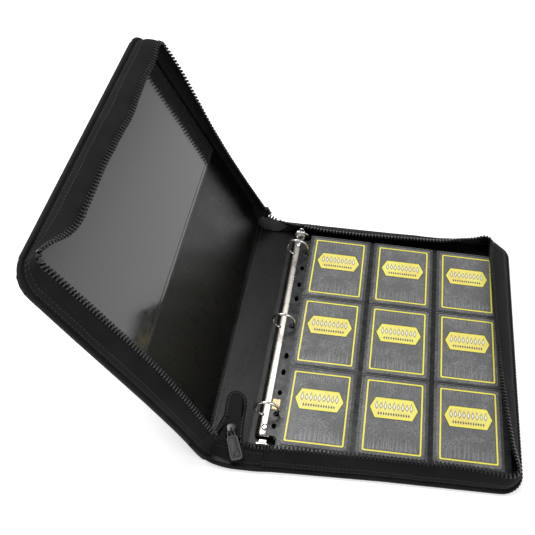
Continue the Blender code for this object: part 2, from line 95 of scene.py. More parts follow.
RING = local_frame((-41.471, -2.0, 0.0), 0.0)
BACK = local_frame((-54.971, -2.0, 2.0), 0.0)
SPINE = local_frame((-54.971, -2.0, 2.0), 7.0)
FRONT = local_frame((-92.688, -2.0, 6.631), 64.5)
PAGE = local_frame((-41.471, -2.0, 20.9), 1.3)
SPINE_FACE = (SPINE[0], SPINE[1] - FOLD_HEIGHT * SPINE[0][:, 2])      # heights from its outer face


def place(where, points):
    """World metres of points given in a frame's own millimetres."""
    rotation, origin = where
    return (np.asarray(points, float) @ rotation.T + origin) * MM


def raised(outline, height):
    """A flat outline's points with one height added to each."""
    return np.column_stack([outline, np.full(len(outline), height)])


def on_cover(side, s, y, height):
    """World metres on a cover: s from its fold, y along it, height above its outer face."""
    where = {"back": BACK, "spine": SPINE, "front": FRONT}[side]
    sign = 1.0 if side == "back" else -1.0
    s, y, height = np.broadcast_arrays(np.asarray(s, float), y, height)
    return place(where, np.stack([sign * s, y, height - FOLD_HEIGHT], axis=-1))


def over(side, line, height):
    """World metres of a line of (s, y) points at one height on a cover."""
    return on_cover(side, line[:, 0], line[:, 1], height)


# ---- mesh building
def smooth_path(points, step):
    """Even points on a smooth curve through control points."""
    points = np.asarray(points, float)
    padded = np.vstack([2 * points[0] - points[1], points, 2 * points[-1] - points[-2]])
    dense = []
    for i in range(len(points) - 1):
        a, b, c, d = padded[i:i + 4]
        t = np.linspace(0, 1, 24, endpoint=False)[:, None]
        dense.append(0.5 * (2 * b + (c - a) * t + (2 * a - 5 * b + 4 * c - d) * t ** 2
                            + (3 * b - a - 3 * c + d) * t ** 3))
    dense = np.vstack(dense + [points[-1:]])
    return even(dense, step)


def even(line, step):
    """A line resampled to even steps."""
    length = travelled(line)
    count = max(2, round(length[-1] / step) + 1)
    along = np.linspace(0, length[-1], count)
    return np.stack([np.interp(along, length, line[:, k]) for k in range(line.shape[1])], axis=1)


def travelled(line):
    """Distance along a line at each of its points."""
    return np.concatenate([[0], np.cumsum(np.linalg.norm(np.diff(line, axis=0), axis=1))])


def unit(v):
    """Vectors of length one."""
    return v / np.maximum(np.linalg.norm(v, axis=-1, keepdims=True), 1e-12)


def round_turns(count):
    """Even angles round a full turn."""
    return np.linspace(0, 2 * pi, count, endpoint=False)


class Build:
    """Collects vertices, faces, material numbers and strip coordinates for one piece."""

    def __init__(self):
        self.verts, self.faces, self.mats, self.strip, self.count = [], [], [], [], 0

    def add(self, verts, faces, mat=0, strip=None):
        verts = np.asarray(verts, float).reshape(-1, 3)
        self.verts.append(verts)
        self.faces += [tuple(int(i) + self.count for i in face) for face in faces]
        self.mats += [mat] * len(faces)
        self.strip.append(np.zeros((len(verts), 3)) if strip is None else strip)
        self.count += len(verts)
        return self

    def shell(self, outer, inner, mat=0, strip=None):
        """Closed sheet between two equal grids of points."""
        nu, nv = outer.shape[:2]
        index = np.arange(nu * nv).reshape(nu, nv)
        back = index + nu * nv
        faces = []
        for i in range(nu - 1):
            for j in range(nv - 1):
                faces.append((index[i, j], index[i + 1, j], index[i + 1, j + 1], index[i, j + 1]))
                faces.append((back[i, j + 1], back[i + 1, j + 1], back[i + 1, j], back[i, j]))
        rim = [(i, 0) for i in range(nu)] + [(nu - 1, j) for j in range(1, nv)]
        rim += [(i, nv - 1) for i in range(nu - 2, -1, -1)] + [(0, j) for j in range(nv - 2, 0, -1)]
        for here, after in zip(rim, rim[1:] + rim[:1]):
            faces.append((index[after], index[here], back[here], back[after]))
        both = np.vstack([outer.reshape(-1, 3), inner.reshape(-1, 3)])
        if strip is not None:
            strip = np.tile(strip.reshape(-1, 3), (2, 1))
        return self.add(both, faces, mat, strip)

    def loft(self, loops, mat=0, strip=None):
        """Closed body through equal loops of points, capped at both ends."""
        loops = np.asarray(loops, float)
        n, m = loops.shape[:2]
        faces = [tuple(range(m))[::-1], tuple(range((n - 1) * m, n * m))]
        for i in range(n - 1):
            for j in range(m):
                k = (j + 1) % m
                faces.append((i * m + j, i * m + k, (i + 1) * m + k, (i + 1) * m + j))
        return self.add(loops, faces, mat, None if strip is None else strip.reshape(-1, 3))

    def levels(self, where, outline, levels, mat=0):
        """Closed body of a frame's flat outline, through (inset, height) levels."""
        return self.loft([place(where, raised(shrunk(outline, inset), height))
                          for inset, height in levels], mat)

    def tube(self, line, radius, sides=10, mat=0, flat=1.0):
        """Round or oval wire along a line; its ends are capped."""
        line = np.asarray(line, float)
        ahead = unit(np.gradient(line, axis=0))
        side = np.zeros_like(line)
        start = np.cross(ahead[0], (0, 0, 1.0))
        if np.linalg.norm(start) < 0.1:
            start = np.cross(ahead[0], (0, 1.0, 0))
        side[0] = unit(start)
        for i in range(1, len(line)):
            turned = side[i - 1] - ahead[i] * (side[i - 1] @ ahead[i])
            side[i] = unit(turned)
        up = np.cross(ahead, side)
        turns = round_turns(sides)
        radius = np.broadcast_to(np.asarray(radius, float), (len(line),))[:, None, None]
        ring = (np.cos(turns)[None, :, None] * side[:, None, :]
                + flat * np.sin(turns)[None, :, None] * up[:, None, :])
        return self.loft(line[:, None, :] + radius * ring, mat)

    def copies(self, shape, origins, axes, mat=0):
        """Copies of a small (verts, faces) shape at origins, turned to their axes."""
        verts, faces = shape
        placed = np.einsum("vk,nkj->nvj", verts, axes) + origins[:, None, :]
        every = []
        for i in range(len(origins)):
            every += [tuple(k + i * len(verts) for k in face) for face in faces]
        return self.add(placed.reshape(-1, 3), every, mat)

    def finish(self, name, materials, body, slot=None, *replaced, smooth=True, blend=None):
        """Makes the object, parents it to its body or, given a blend, bakes its transform, and
        hides the CAD parts it replaces; slot is not used.
        """
        mesh = bpy.data.meshes.new(name)
        mesh.from_pydata(np.vstack(self.verts).tolist(), [], self.faces)
        for mat in materials:
            mesh.materials.append(mat)
        mesh.polygons.foreach_set("material_index", self.mats)
        mesh.polygons.foreach_set("use_smooth", [smooth] * len(self.faces))
        strip = mesh.attributes.new("strip", "FLOAT_VECTOR", "POINT")
        strip.data.foreach_set("vector", np.vstack(self.strip).ravel())
        bm = bmesh.new()
        bm.from_mesh(mesh)
        bmesh.ops.recalc_face_normals(bm, faces=bm.faces)
        bm.to_mesh(mesh)
        bm.free()
        if smooth:
            mesh.set_sharp_from_angle(angle=radians(38))
        obj = bpy.data.objects.new(name, mesh)
        bpy.context.scene.collection.objects.link(obj)
        if blend:
            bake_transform(obj)
        else:
            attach(obj, body)
        if replaced:
            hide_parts(*replaced)
        return obj


def block(half, bevel):
    """Verts and faces of a small block with bevelled edges, in metres."""
    bm = bmesh.new()
    bmesh.ops.create_cube(bm, size=2.0)
    bmesh.ops.scale(bm, vec=Vector(half), verts=bm.verts)
    bmesh.ops.bevel(bm, geom=bm.edges[:], offset=bevel, segments=1, affect="EDGES")
    bm.verts.index_update()
    verts = np.array([v.co for v in bm.verts])
    faces = [tuple(v.index for v in f.verts) for f in bm.faces]
    bm.free()
    return verts, faces


def stitch_shape(length, radius):
    """Verts and faces of one thread stitch that dives at both ends, along X, up along Z."""
    xs = np.array([-0.5, -0.38, -0.15, 0.15, 0.38, 0.5]) * length
    zs = np.array([-0.9, 0.1, 0.45, 0.45, 0.1, -0.9]) * radius
    rs = np.array([0.5, 0.9, 1.0, 1.0, 0.9, 0.5]) * radius
    made = Build().loft([[(x, r * cos(a), z + r * sin(a)) for a in round_turns(6)]
                         for x, z, r in zip(xs, zs, rs)])
    return made.verts[0], made.faces


STITCH = stitch_shape(STITCH_LENGTH * MM, 0.34 * MM)


def standing(line, up, pitch):
    """Spots every pitch millimetres on a line of world points, their up and upright axes."""
    step = even(np.hstack([line / MM, up]), pitch)
    spots, up = step[:, :3] * MM, unit(step[:, 3:])
    along = unit(np.gradient(spots, axis=0))
    across = unit(np.cross(up, along))
    up = np.cross(along, across)
    return spots, up, np.stack([along, across, up], axis=1)


def stitches(build, line, normals, mat=1):
    """A row of stitches on a line of world points, with the surface's normal at each."""
    spots, _, axes = standing(line, normals, STITCH_PITCH)
    return build.copies(STITCH, spots, axes, mat)


def sewn_line(build, side, s, y, height, away=1.0):
    """A row of stitches on a cover along points s, y at a height, facing up or down."""
    line = on_cover(side, s, y, height)
    return stitches(build, line, unit(on_cover(side, s, y, height + away) - line))


def shrunk(outline, inset):
    """A closed outline moved inwards."""
    if not inset:
        return outline
    ahead = unit(np.roll(outline, -1, axis=0) - outline)
    behind = unit(outline - np.roll(outline, 1, axis=0))
    area = np.sum(outline[:, 0] * np.roll(outline[:, 1], -1) - outline[:, 1]
                  * np.roll(outline[:, 0], -1))
    turn = 1.0 if area > 0 else -1.0
    n0 = turn * np.stack([-behind[:, 1], behind[:, 0]], axis=1)
    n1 = turn * np.stack([-ahead[:, 1], ahead[:, 0]], axis=1)
    middle = unit(n0 + n1)
    share = np.maximum(np.sum(middle * n0, axis=1), 0.35)
    return outline + middle * (inset / share)[:, None]


def rounded(x0, y0, x1, y1, radius, steps=6):
    """Outline of a rectangle with round corners."""
    points = []
    for cx, cy, start in ((x1 - radius, y0 + radius, -pi / 2), (x1 - radius, y1 - radius, 0.0),
                          (x0 + radius, y1 - radius, pi / 2), (x0 + radius, y0 + radius, pi)):
        points += [(cx + radius * cos(a), cy + radius * sin(a))
                   for a in (start + pi / 2 * i / steps for i in range(steps + 1))]
    return np.array(points)


# ---- materials
class Shader:
    """A Principled material with a few procedural helpers."""

    def __init__(self, name, colour, roughness, **sockets):
        self.mat = bpy.data.materials.new(name)
        self.mat.use_nodes = True
        self.tree = self.mat.node_tree
        self.bsdf = self.tree.nodes["Principled BSDF"]
        self.bsdf.inputs["Base Color"].default_value = (*colour, 1.0)
        self.bsdf.inputs["Roughness"].default_value = roughness
        for key, value in sockets.items():
            self.bsdf.inputs[key.replace("_", " ")].default_value = value

    def node(self, kind, inputs=(), **settings):
        made = self.tree.nodes.new(kind)
        for key, value in settings.items():
            setattr(made, key, value)
        for key, value in dict(inputs).items():
            if isinstance(value, bpy.types.NodeSocket):
                self.tree.links.new(value, made.inputs[key])
            else:
                made.inputs[key].default_value = value
        return made

    def maths(self, operation, a, b=0.0):
        return self.node("ShaderNodeMath", {0: a, 1: b}, operation=operation).outputs[0]

    def total(self, first, *rest):
        """Sum of values, or of (value, weight) pairs."""
        if isinstance(first, tuple):
            first = self.maths("MULTIPLY", *first)
        return self.maths("ADD", first, self.total(*rest)) if rest else first

    def ramp(self, value, low, high, span=(0.3, 0.7)):
        made = self.node("ShaderNodeMapRange", {"Value": value, "From Min": span[0],
                                                "From Max": span[1], "To Min": low,
                                                "To Max": high})
        return made.outputs["Result"]

    def where(self):
        return self.node("ShaderNodeTexCoord").outputs["Object"]

    def noise(self, scale, detail=3.0):
        return self.node("ShaderNodeTexNoise", {"Vector": self.where(), "Scale": scale,
                                                "Detail": detail}).outputs["Fac"]

    def cells(self, scale, vector=None):
        return self.node("ShaderNodeTexVoronoi", {"Vector": vector or self.where(),
                                                  "Scale": scale},
                         feature="DISTANCE_TO_EDGE").outputs["Distance"]

    def tint(self, value, dark, light, span=(0.3, 0.7)):
        share = self.ramp(value, 0.0, 1.0, span)
        mixed = self.node("ShaderNodeMix", {0: share, 6: (*dark, 1), 7: (*light, 1)},
                          data_type="RGBA")
        self.tree.links.new(mixed.outputs[2], self.bsdf.inputs["Base Color"])
        return self

    def shine(self, value, low, high, span=(0.3, 0.7)):
        self.tree.links.new(self.ramp(value, low, high, span), self.bsdf.inputs["Roughness"])
        return self

    def bump(self, height, depth):
        made = self.node("ShaderNodeBump", {"Height": height, "Distance": depth})
        self.tree.links.new(made.outputs[0], self.bsdf.inputs["Normal"])
        return self


def lighter(colour, factor, more):
    """A colour scaled and lifted, no channel past one."""
    return tuple(min(1.0, factor * c + more) for c in colour)


def leather(name, colour, roughness, grain=620.0, depth=0.00025, worn=0.004, **sockets):
    """Pebbled leatherette with soft creases."""
    made = Shader(name, colour, roughness, **sockets)
    pebbles = made.cells(grain)
    creases = made.noise(45.0, 4.0)
    height = made.total((pebbles, 1.4), (made.noise(1900.0, 2.0), 0.25), (creases, 0.6))
    made.tint(creases, colour, lighter(colour, 1.7, worn), (0.2, 0.9))
    made.shine(creases, roughness - 0.04, roughness + 0.04)
    return made.bump(height, depth).mat


def woven(name, colour, roughness, pitch, depth=0.0002, **sockets):
    """Woven fabric on a strip: threads along and across it, with worn lighter highs."""
    made = Shader(name, colour, roughness, **sockets)
    strip = made.node("ShaderNodeAttribute", attribute_name="strip").outputs["Vector"]
    parts = made.node("ShaderNodeSeparateXYZ", {0: strip}).outputs
    warp, weft = (made.maths("SINE", made.maths("MULTIPLY", part, 2 * pi / pitch))
                  for part in parts[:2])
    weave = made.maths("MULTIPLY", warp, weft)
    blotch = made.noise(38.0, 3.0)
    made.tint(made.total((weave, 0.12), blotch), colour, lighter(colour, 2.1, 0.004), (0.3, 0.85))
    made.shine(blotch, roughness - 0.06, roughness + 0.06)
    return made.bump(made.total((weave, 0.5), made.noise(900.0, 3.0)), depth).mat


def metal(name, colour, low, high, scale=160.0):
    """Brushed or polished metal with faint smears."""
    made = Shader(name, colour, low, Metallic=1.0)
    smear = made.noise(scale, 4.0)
    made.shine(smear, low, high)
    made.tint(smear, tuple(0.86 * c for c in colour), colour)
    return made.bump(made.total(smear, (made.noise(2400.0, 1.0), 0.3)), 0.00002).mat


def film(name, colour, roughness, alpha, wobble=26.0, depth=0.0006, **sockets):
    """Clear or smoked plastic with a slow wobble."""
    made = Shader(name, colour, roughness, Alpha=alpha, **sockets)
    haze = made.noise(170.0, 4.0)
    made.shine(haze, roughness * 0.7, roughness * 1.5)
    made.tint(haze, colour, lighter(colour, 1.25, 0.002))
    return made.bump(made.noise(wobble, 2.0), depth).mat


def plain(name, colour, roughness, scale=700.0, depth=0.00006, spread=1.25, **sockets):
    """Fine speckled surface, lighter in soft patches."""
    made = Shader(name, colour, roughness, **sockets)
    speck = made.noise(scale, 3.0)
    made.tint(made.noise(scale / 18, 2.0), colour, lighter(colour, spread, 0.001))
    made.shine(speck, roughness - 0.05, roughness + 0.06)
    return made.bump(speck, depth).mat


def printed_field():
    """Card face: dark coated stock with a soft embossed swirl and fine light scratches."""
    made = Shader("card_field", (0.07, 0.07, 0.072), 0.42, Specular_IOR_Level=0.45)
    swirl = made.node("ShaderNodeTexWave", {"Vector": made.where(), "Scale": 120.0,
                                            "Distortion": 16.0, "Detail": 5.0,
                                            "Detail Scale": 3.4}, wave_type="RINGS",
                      rings_direction="Z").outputs["Fac"]
    fibre = made.noise(420.0, 4.0)
    crest = made.cells(330.0, bent(made, 0.012))
    streak = made.ramp(crest, 1.0, 0.0, (0.0, 0.12))
    patch = made.ramp(made.noise(60.0, 2.0), 0.0, 1.0, (0.42, 0.62))
    worn = made.total((swirl, 0.35), (fibre, 0.5), (made.maths("MULTIPLY", streak, patch), 0.75))
    made.tint(worn, (0.070, 0.070, 0.072), (0.235, 0.235, 0.237), (0.28, 1.0))
    made.shine(fibre, 0.32, 0.5)
    return made.bump(made.total(swirl, (fibre, 0.5)), 0.00012).mat


def bent(made, reach):
    """Object coordinates pushed about by noise, in metres."""
    push = made.node("ShaderNodeTexNoise", {"Vector": made.where(), "Scale": 120.0, "Detail": 2.0})
    scaled = made.node("ShaderNodeVectorMath", {0: push.outputs["Color"], 1: (reach,) * 3},
                       operation="MULTIPLY")
    return made.node("ShaderNodeVectorMath", {0: scaled.outputs[0], 1: made.where()},
                     operation="ADD").outputs[0]


def glitter():
    """Foil of small flakes that each shine differently."""
    made = Shader("glitter_foil", (0.7, 0.52, 0.2), 0.3, Metallic=0.85)
    flakes = made.node("ShaderNodeTexVoronoi", {"Vector": made.where(), "Scale": 1500.0})
    shade = made.node("ShaderNodeSeparateColor", {0: flakes.outputs["Color"]}).outputs[0]
    made.tint(shade, (0.2, 0.12, 0.04), (0.95, 0.82, 0.5), (0.1, 0.9))
    made.shine(shade, 0.15, 0.6)
    return made.bump(shade, 0.0004).mat


BLACK = (0.006, 0.006, 0.0063)
SKIN = leather("outer_leather", BLACK, 0.5, Specular_IOR_Level=0.22)
LINING = leather("lining_leather", (0.0026, 0.0025, 0.0022), 0.29, grain=800.0, depth=0.0001,
                 worn=0.0006, Specular_IOR_Level=0.22)
WALL = woven("wall_fabric", (0.0055, 0.0053, 0.0054), 0.8, 0.0012, 0.0003,
             Specular_IOR_Level=0.14, Sheen_Weight=0.03)
TAPE = woven("zip_tape_fabric", (0.005, 0.005, 0.0052), 0.86, 0.0016, 0.0003,
             Specular_IOR_Level=0.12, Sheen_Weight=0.03)
BINDING = woven("binding_tape", (0.0042, 0.0041, 0.0042), 0.72, 0.0008, 0.00015,
                Specular_IOR_Level=0.16, Sheen_Weight=0.02)
THREAD = plain("thread", (0.014, 0.014, 0.015), 0.6, 2500.0, 0.0001, 1.5)
LIGHT_THREAD = plain("light_thread", (0.05, 0.05, 0.052), 0.55, 2500.0, 0.0001, 1.4)
TOOTH = plain("zip_teeth", (0.007, 0.007, 0.0073), 0.24, 900.0, 0.00004, 1.5,
              Specular_IOR_Level=0.5)
# tape fabric made about four times lighter for the fan ribs: painted highlight on the pleat ridges
PLEAT_HIGHLIGHT = plain("pleated_tape_painted_highlight", (0.024, 0.024, 0.025), 0.6, 1500.0, 0.0001, 1.6)
SMOKED = film("smoked_vinyl", (0.019, 0.0187, 0.0187), 0.10, 0.93, 3.0, 0.0004, IOR=1.5,
              Specular_IOR_Level=1.0)
WELDED = film("vinyl_edge", (0.03, 0.03, 0.032), 0.12, 0.93, 40.0, 0.0006)
SHEET = film("page_sheet", (0.014, 0.014, 0.0152), 0.22, 0.93, 34.0, 0.0008,
             Specular_IOR_Level=0.33)
WINDOW = film("pocket_film", (0.30, 0.30, 0.305), 0.12, 0.10, 30.0, 0.0010)
CREASE = plain("pocket_mouth", (0.20, 0.20, 0.205), 0.25, 900.0)
DOT = plain("weld_dots", (0.006, 0.006, 0.006), 0.5, 900.0)
NICKEL = metal("nickel", (0.84, 0.82, 0.78), 0.10, 0.20)
PLATE_NICKEL = metal("plate_nickel", (0.37, 0.35, 0.315), 0.22, 0.34, 90.0)
# near-black material for tubes on the zip garage tab: painted shadow of its folds
SHADE = plain("painted_fold_shadow", (0.0015, 0.0015, 0.0015), 0.85, 900.0, 0.0001, 1.5,
              Specular_IOR_Level=0.1)
NICKEL_DARK = metal("ring_rail_steel", (0.45, 0.44, 0.42), 0.25, 0.4)
GUN = metal("slider_metal", (0.075, 0.074, 0.075), 0.26, 0.40, 420.0)
RUBBER = plain("pull_rubber", (0.014, 0.014, 0.015), 0.5, 1300.0, 0.00012, 1.35)
# the same rubber made lighter for the grip's outer rim: painted rim highlight
RUBBER_RIM_HIGHLIGHT = plain("pull_rubber_rim_highlight", (0.042, 0.042, 0.044), 0.45, 1300.0, 0.0001, 1.4)
BOARD = plain("grey_board", (0.22, 0.19, 0.15), 0.9, 500.0, 0.0002)
FIELD = printed_field()
# print colours also emit faintly: painted glow that brightens the print beyond what the lamps give
YELLOW = plain("yellow_print_painted_glow", (1.0, 0.88, 0.06), 0.36, 600.0, 0.00003, 1.08,
               Emission_Color=(1.0, 0.82, 0.06, 1.0), Emission_Strength=0.12)
GOLD = plain("plaque_print_painted_glow", (0.95, 0.76, 0.16), 0.40, 520.0, 0.00003, 1.3,
             Emission_Color=(1.0, 0.8, 0.2, 1.0), Emission_Strength=0.10)
PALE = plain("pale_print_painted_glow", (0.97, 0.94, 0.80), 0.36, 620.0, 0.00003, 1.03,
             Emission_Color=(1.0, 0.95, 0.8, 1.0), Emission_Strength=0.12)
INK = plain("dark_print", (0.02, 0.018, 0.012), 0.45, 600.0, 0.00003, 1.5)
RELIEF = plain("card_relief", (0.21, 0.21, 0.215), 0.4, 700.0, 0.00003, 1.3)
FOIL = glitter()


# ---- cover edges
NEAR_PULL = {"front": ((0, 9, 20, 30, 50, 95, 140, 190, 262),
                       (1, 0.9, 1.6, 2.4, 3.2, 3.2, 2.2, 1, 0)),
             "spine": ((0, 5, 13, 21, 29, 36, 38), (-3.4, -3.5, -3.6, -3.0, -1.6, 0.8, 1.0)),
             "back": ((0, 3, 11, 18, 25, 50, 90, 130),
                      (-3.3, -3.2, -3.3, -2.8, -2.2, -1.6, -0.8, 0))}


def near_edge(side, s):
    """Y of the near edge, which the gusset pulls in on the cover and pushes out at the spine."""
    return COVER_NEAR + np.interp(s, *NEAR_PULL[side])


def edge_line(side, start, inset, step):
    """A line round the three free edges at an inset, near side first, in s and y."""
    radius = COVER_CORNER - inset
    s1, y0, y1 = COVER_WIDTH - inset, COVER_NEAR + inset, COVER_FAR - inset
    near = np.linspace(start, s1 - radius, 60)
    points = list(zip(near, near_edge(side, near) + inset))
    for cy, begin in ((y0 + radius, -pi / 2), (y1 - radius, 0.0)):
        points += [(s1 - radius + radius * cos(begin + pi / 2 * i / 14),
                    cy + radius * sin(begin + pi / 2 * i / 14)) for i in range(1, 15)]
    points.append((start, y1))
    return even(np.array(points), step)


def foot_for(top, foot):
    """For each top point, the foot point below it; the match only moves forward and is smooth."""
    along = travelled(foot)
    gap = np.linalg.norm(top[:, None, :2] - foot[None, :, :], axis=2)
    nearest = along[np.argmin(gap, axis=1)]
    nearest = np.maximum.accumulate(nearest)
    nearest[0], nearest[-1] = 0.0, along[-1]
    reach = 9
    padded = np.concatenate([2 * nearest[0] - nearest[reach:0:-1], nearest,
                             2 * nearest[-1] - nearest[-2:-reach - 2:-1]])
    kernel = np.hanning(2 * reach + 3)[1:-1]
    nearest = np.convolve(padded, kernel / kernel.sum(), mode="valid")
    nearest = np.clip(nearest, 0, along[-1])
    return np.stack([np.interp(nearest, along, foot[:, k]) for k in range(2)], axis=1)


BACK_TOP = [(18, -149.5, 19.0), (60, -148, 19.6), (110, -148, 19.8), (180, -148, 20),
            (220, -150, 20.4), (243, -153, 21), (252.5, -150, 21.4), (255, -141, 21),
            (251, -118, 20.4), (246, -70, 20), (242, -5, 19.8), (239.5, 60, 20),
            (238, 115, 20.4), (238.5, 138, 21.6), (238, 150, 23.0), (231, 156, 22.8),
            (218, 153, 21.2), (200, 150, 19.6), (177, 145, 18.9), (107, 142, 18.9),
            (48, 142, 18.7), (18, 145.5, 18.4)]
FRONT_TOP = [(21, -146, 18.8), (76, -141.5, 19.8), (135, -140.5, 20), (207, -145, 20.2),
             (243, -147.5, 20.8), (257, -148.5, 21.4), (263.5, -144.5, 21.6), (262.5, -136, 21.2),
             (256, -121, 20.4), (249, -107, 20.1), (245, -91, 20), (245, -70, 20), (246.5, -30, 20),
             (244.5, 20, 20), (243.5, 50, 20), (246, 90, 20.2), (246, 119, 20.4), (249.5, 146, 21),
             (247, 155, 21.4), (238, 158.5, 21), (205, 158.2, 21.2), (141, 153.8, 18.8),
             (83, 152.5, 18.3), (50, 153, 18.8), (21, 153.5, 19.6)]


def wall_points(side, top, foot, shares, offset=0.0):
    """Grid of world points on a leaning fabric wall; shares run from its foot to its teeth."""
    along = travelled(top[:, :2])[:, None]
    shares = np.asarray(shares, float)[None, :]
    lean = shares ** 1.55
    plan = foot[:, None, :] + (top[:, None, :2] - foot[:, None, :]) * lean[..., None]
    inward = unit(np.stack([-np.gradient(top[:, 1]), np.gradient(top[:, 0])], axis=1))
    wave = (0.8 * np.sin(along / 13.4 + 0.4) + 0.5 * np.sin(along / 6.9 + 1.3)
            + 0.28 * np.sin(along / 3.1 + 2.1))
    belly = -1.3 * np.sin(pi * shares)
    push = wave * shares ** 1.4 * (1.15 - shares) * 1.6 + belly + offset
    plan = plan + inward[:, None, :] * push[..., None]
    height = (LINING_TOP + 0.3) + (top[:, None, 2] - LINING_TOP - 0.3) * shares
    return on_cover(side, plan[..., 0], plan[..., 1], height)


def strip_of(grid):
    """Distance along and across a grid of world points, for woven materials."""
    out = np.zeros(grid.shape)
    out[..., 0], out[..., 1] = travelled(grid[:, 0])[:, None], travelled(grid[0])[None, :]
    return out


def normals_of(grid, shares, share):
    """Line of points and normals at one share of a wall grid."""
    j = int(np.argmin(np.abs(shares - share)))
    across = grid[:, j + 1] - grid[:, j - 1]
    return grid[:, j], unit(np.cross(np.gradient(grid[:, j], axis=0), across))


TOOTH_BODY = block((1.05 * MM, 1.6 * MM, 1.7 * MM), 0.4 * MM)
TOOTH_HEAD = block((0.75 * MM, 1.15 * MM, 1.25 * MM), 0.34 * MM)


def teeth(build, line, up, mat=0):
    """Zip teeth along a line of world points; up points away from the tape."""
    spots, up, axes = standing(line, up, TOOTH_PITCH)
    build.copies(TOOTH_BODY, spots + up * 0.2 * MM, axes, mat)
    return build.copies(TOOTH_HEAD, spots + up * 2.3 * MM, axes, mat)


def cover_edges(side, body, top_points):
    """Fabric wall, piping, zip tape and teeth round one cover."""
    top = smooth_path(top_points, 2.2)
    foot = foot_for(top, edge_line(side, top_points[0][0], WALL_FOOT_INSET, 0.5))
    shares = np.linspace(0.0, WALL_TOP, 12)
    outer = wall_points(side, top, foot, shares)
    inner = wall_points(side, top, foot, shares, offset=1.1)
    wall = Build().shell(outer, inner, 0, strip_of(outer))
    for share in WALL_STITCHES:
        for grid, sign in ((outer, 1.0), (inner, -1.0)):
            line, normal = normals_of(grid, shares, share)
            probe = len(normal) // 4
            away = np.sign(np.sum(normal[probe] * (outer - inner)[probe, 5]))
            stitches(wall, line, normal * away * sign)
    cloth = wall.finish(side + "_wall_fabric", [WALL, THREAD], body, "gusset", side + "_gusset")

    shares = np.linspace(*TAPE_SPAN, 6)
    outer, inner = (wall_points(side, top, foot, shares, offset=reach) for reach in (-0.35, 1.45))
    cloth = Build().shell(outer, inner, 0, strip_of(outer)).finish(
        side + "_zip_tape_cloth", [TAPE], body, "tape", side + "_zip_tape")

    ends = wall_points(side, top, foot, (0.9, 1.0), offset=0.5)
    teeth(Build(), ends[:, 1], unit(ends[:, 1] - ends[:, 0])).finish(
        side + "_zip_teeth", [TOOTH], body, "coil", side + "_zip_coil")

    edge = edge_line(side, GUTTER, PIPING_RADIUS, 2.2)
    line = over(side, edge, 2.7)
    bead = Build().tube(line, PIPING_RADIUS * MM, 12)
    bead.tube(over(side, edge_line(side, GUTTER, 3.0, 2.2), 3.9), 0.9 * MM, 8, 0, 0.6)
    bead.tube(over(side, edge, 0.6), 0.7 * MM, 8)
    tangent = np.gradient(edge, axis=0)
    beyond = edge + unit(np.stack([tangent[:, 1], -tangent[:, 0]], axis=1))
    outward = unit(over(side, beyond, 2.7) - line)
    stitches(bead, line + outward * (PIPING_RADIUS + 0.05) * MM, outward)
    bead.finish(side + "_piping_cord", [BINDING, THREAD], body, "piping", side + "_piping")


cover_edges("back", "back_cover", BACK_TOP)
cover_edges("front", "front_cover", FRONT_TOP)

# ---- cover faces and folds
def between_heights(side, s, y, top, under):
    """Closed plate over a grid of a cover, between two heights: numbers or functions of s, y."""
    return Build().shell(*(on_cover(side, s, y, height(s, y) if callable(height) else height)
                           for height in (top, under)))


def slab(side, inner, inset, top, under, steps=(46, 60)):
    """Closed plate over a cover face, with round free corners."""
    u = np.linspace(0, 1, steps[0])[:, None]
    v = np.linspace(0, 1, steps[1])[None, :]
    x1, y0, y1 = COVER_WIDTH - inset, COVER_NEAR + inset, COVER_FAR - inset
    radius = COVER_CORNER - inset
    s = inner + (x1 - inner) * u + 0 * v
    into = np.clip(s - (x1 - radius), 0, radius)
    drop = radius - np.sqrt(np.maximum(radius ** 2 - into ** 2, 0))
    pull = near_edge(side, s) - COVER_NEAR
    y = (y0 + drop + pull) + (y1 - y0 - 2 * drop - pull) * v
    return between_heights(side, s, y, top, under)


def skin(side, body):
    """Outer leather of a cover, a little puffed between its edges."""
    def puffed(s, y):
        edge = np.minimum.reduce([COVER_WIDTH - s, s - GUTTER, y - COVER_NEAR, COVER_FAR - y])
        return 0.1 - 0.55 * (1 - np.exp(-np.maximum(edge, 0) / 9.0))
    made = slab(side, GUTTER, 0.6, puffed, SKIN_TOP)
    edge = edge_line(side, GUTTER + 1, 5.2, 2.2)
    sewn_line(made, side, edge[:, 0], edge[:, 1], -0.12, -1.0)
    made.finish(side + "_skin", [SKIN, THREAD], body, "skin", side + "_outer_cover")


def board(side, body):
    """Stiff board between skin and lining."""
    slab(side, GUTTER, 3.6, BOARD_TOP, BOARD_LOW, (30, 30)).finish(
        side + "_stiff_board", [BOARD], body, "board", side + "_board")


def spine_slab(s, gap, count, top, under):
    """Closed plate over the spine, gap millimetres short of its pulled-in near and far ends."""
    near, far = near_edge("spine", s) + gap[0], COVER_FAR - gap[1]
    return between_heights("spine", s, near + (far - near) * np.linspace(0, 1, count)[None, :],
                           top, under)


def lining(side, body, ripple):
    """Inner lining with soft unevenness; the front one also gets a stitched line beside the fold.
    """
    def top(s, y):
        soft = (0.25 * np.sin(s / 17 + y / 41) + 0.2 * np.sin(y / 23 - s / 31 + 1.0)
                + 0.12 * np.sin(s / 9.0 + y / 7.0))
        return LINING_TOP + ripple * soft - 0.1
    made = slab(side, GUTTER, 3.2, top, LINING_LOW, (60, 70))
    if side == "front":
        y = np.linspace(COVER_NEAR + 14, COVER_FAR - 14, 120)
        s = GUTTER + 2.2
        sewn_line(made, side, s, y, top(s, y) + 0.05, 0.95)
    made.finish(side + "_lining_leather", [LINING, THREAD], body, "lining", side + "_lining")


def spine_board():
    """Stiff board of the spine, cut to the same pulled-in near end as its cover."""
    s = np.linspace(GUTTER + 0.8, SPINE_WIDTH - GUTTER - 0.8, 8)[:, None]
    spine_slab(s, (3.8, 3.6), 30, BOARD_TOP, BOARD_LOW).finish(
        "spine_stiff_board", [BOARD], "spine", "board", "spine_board")


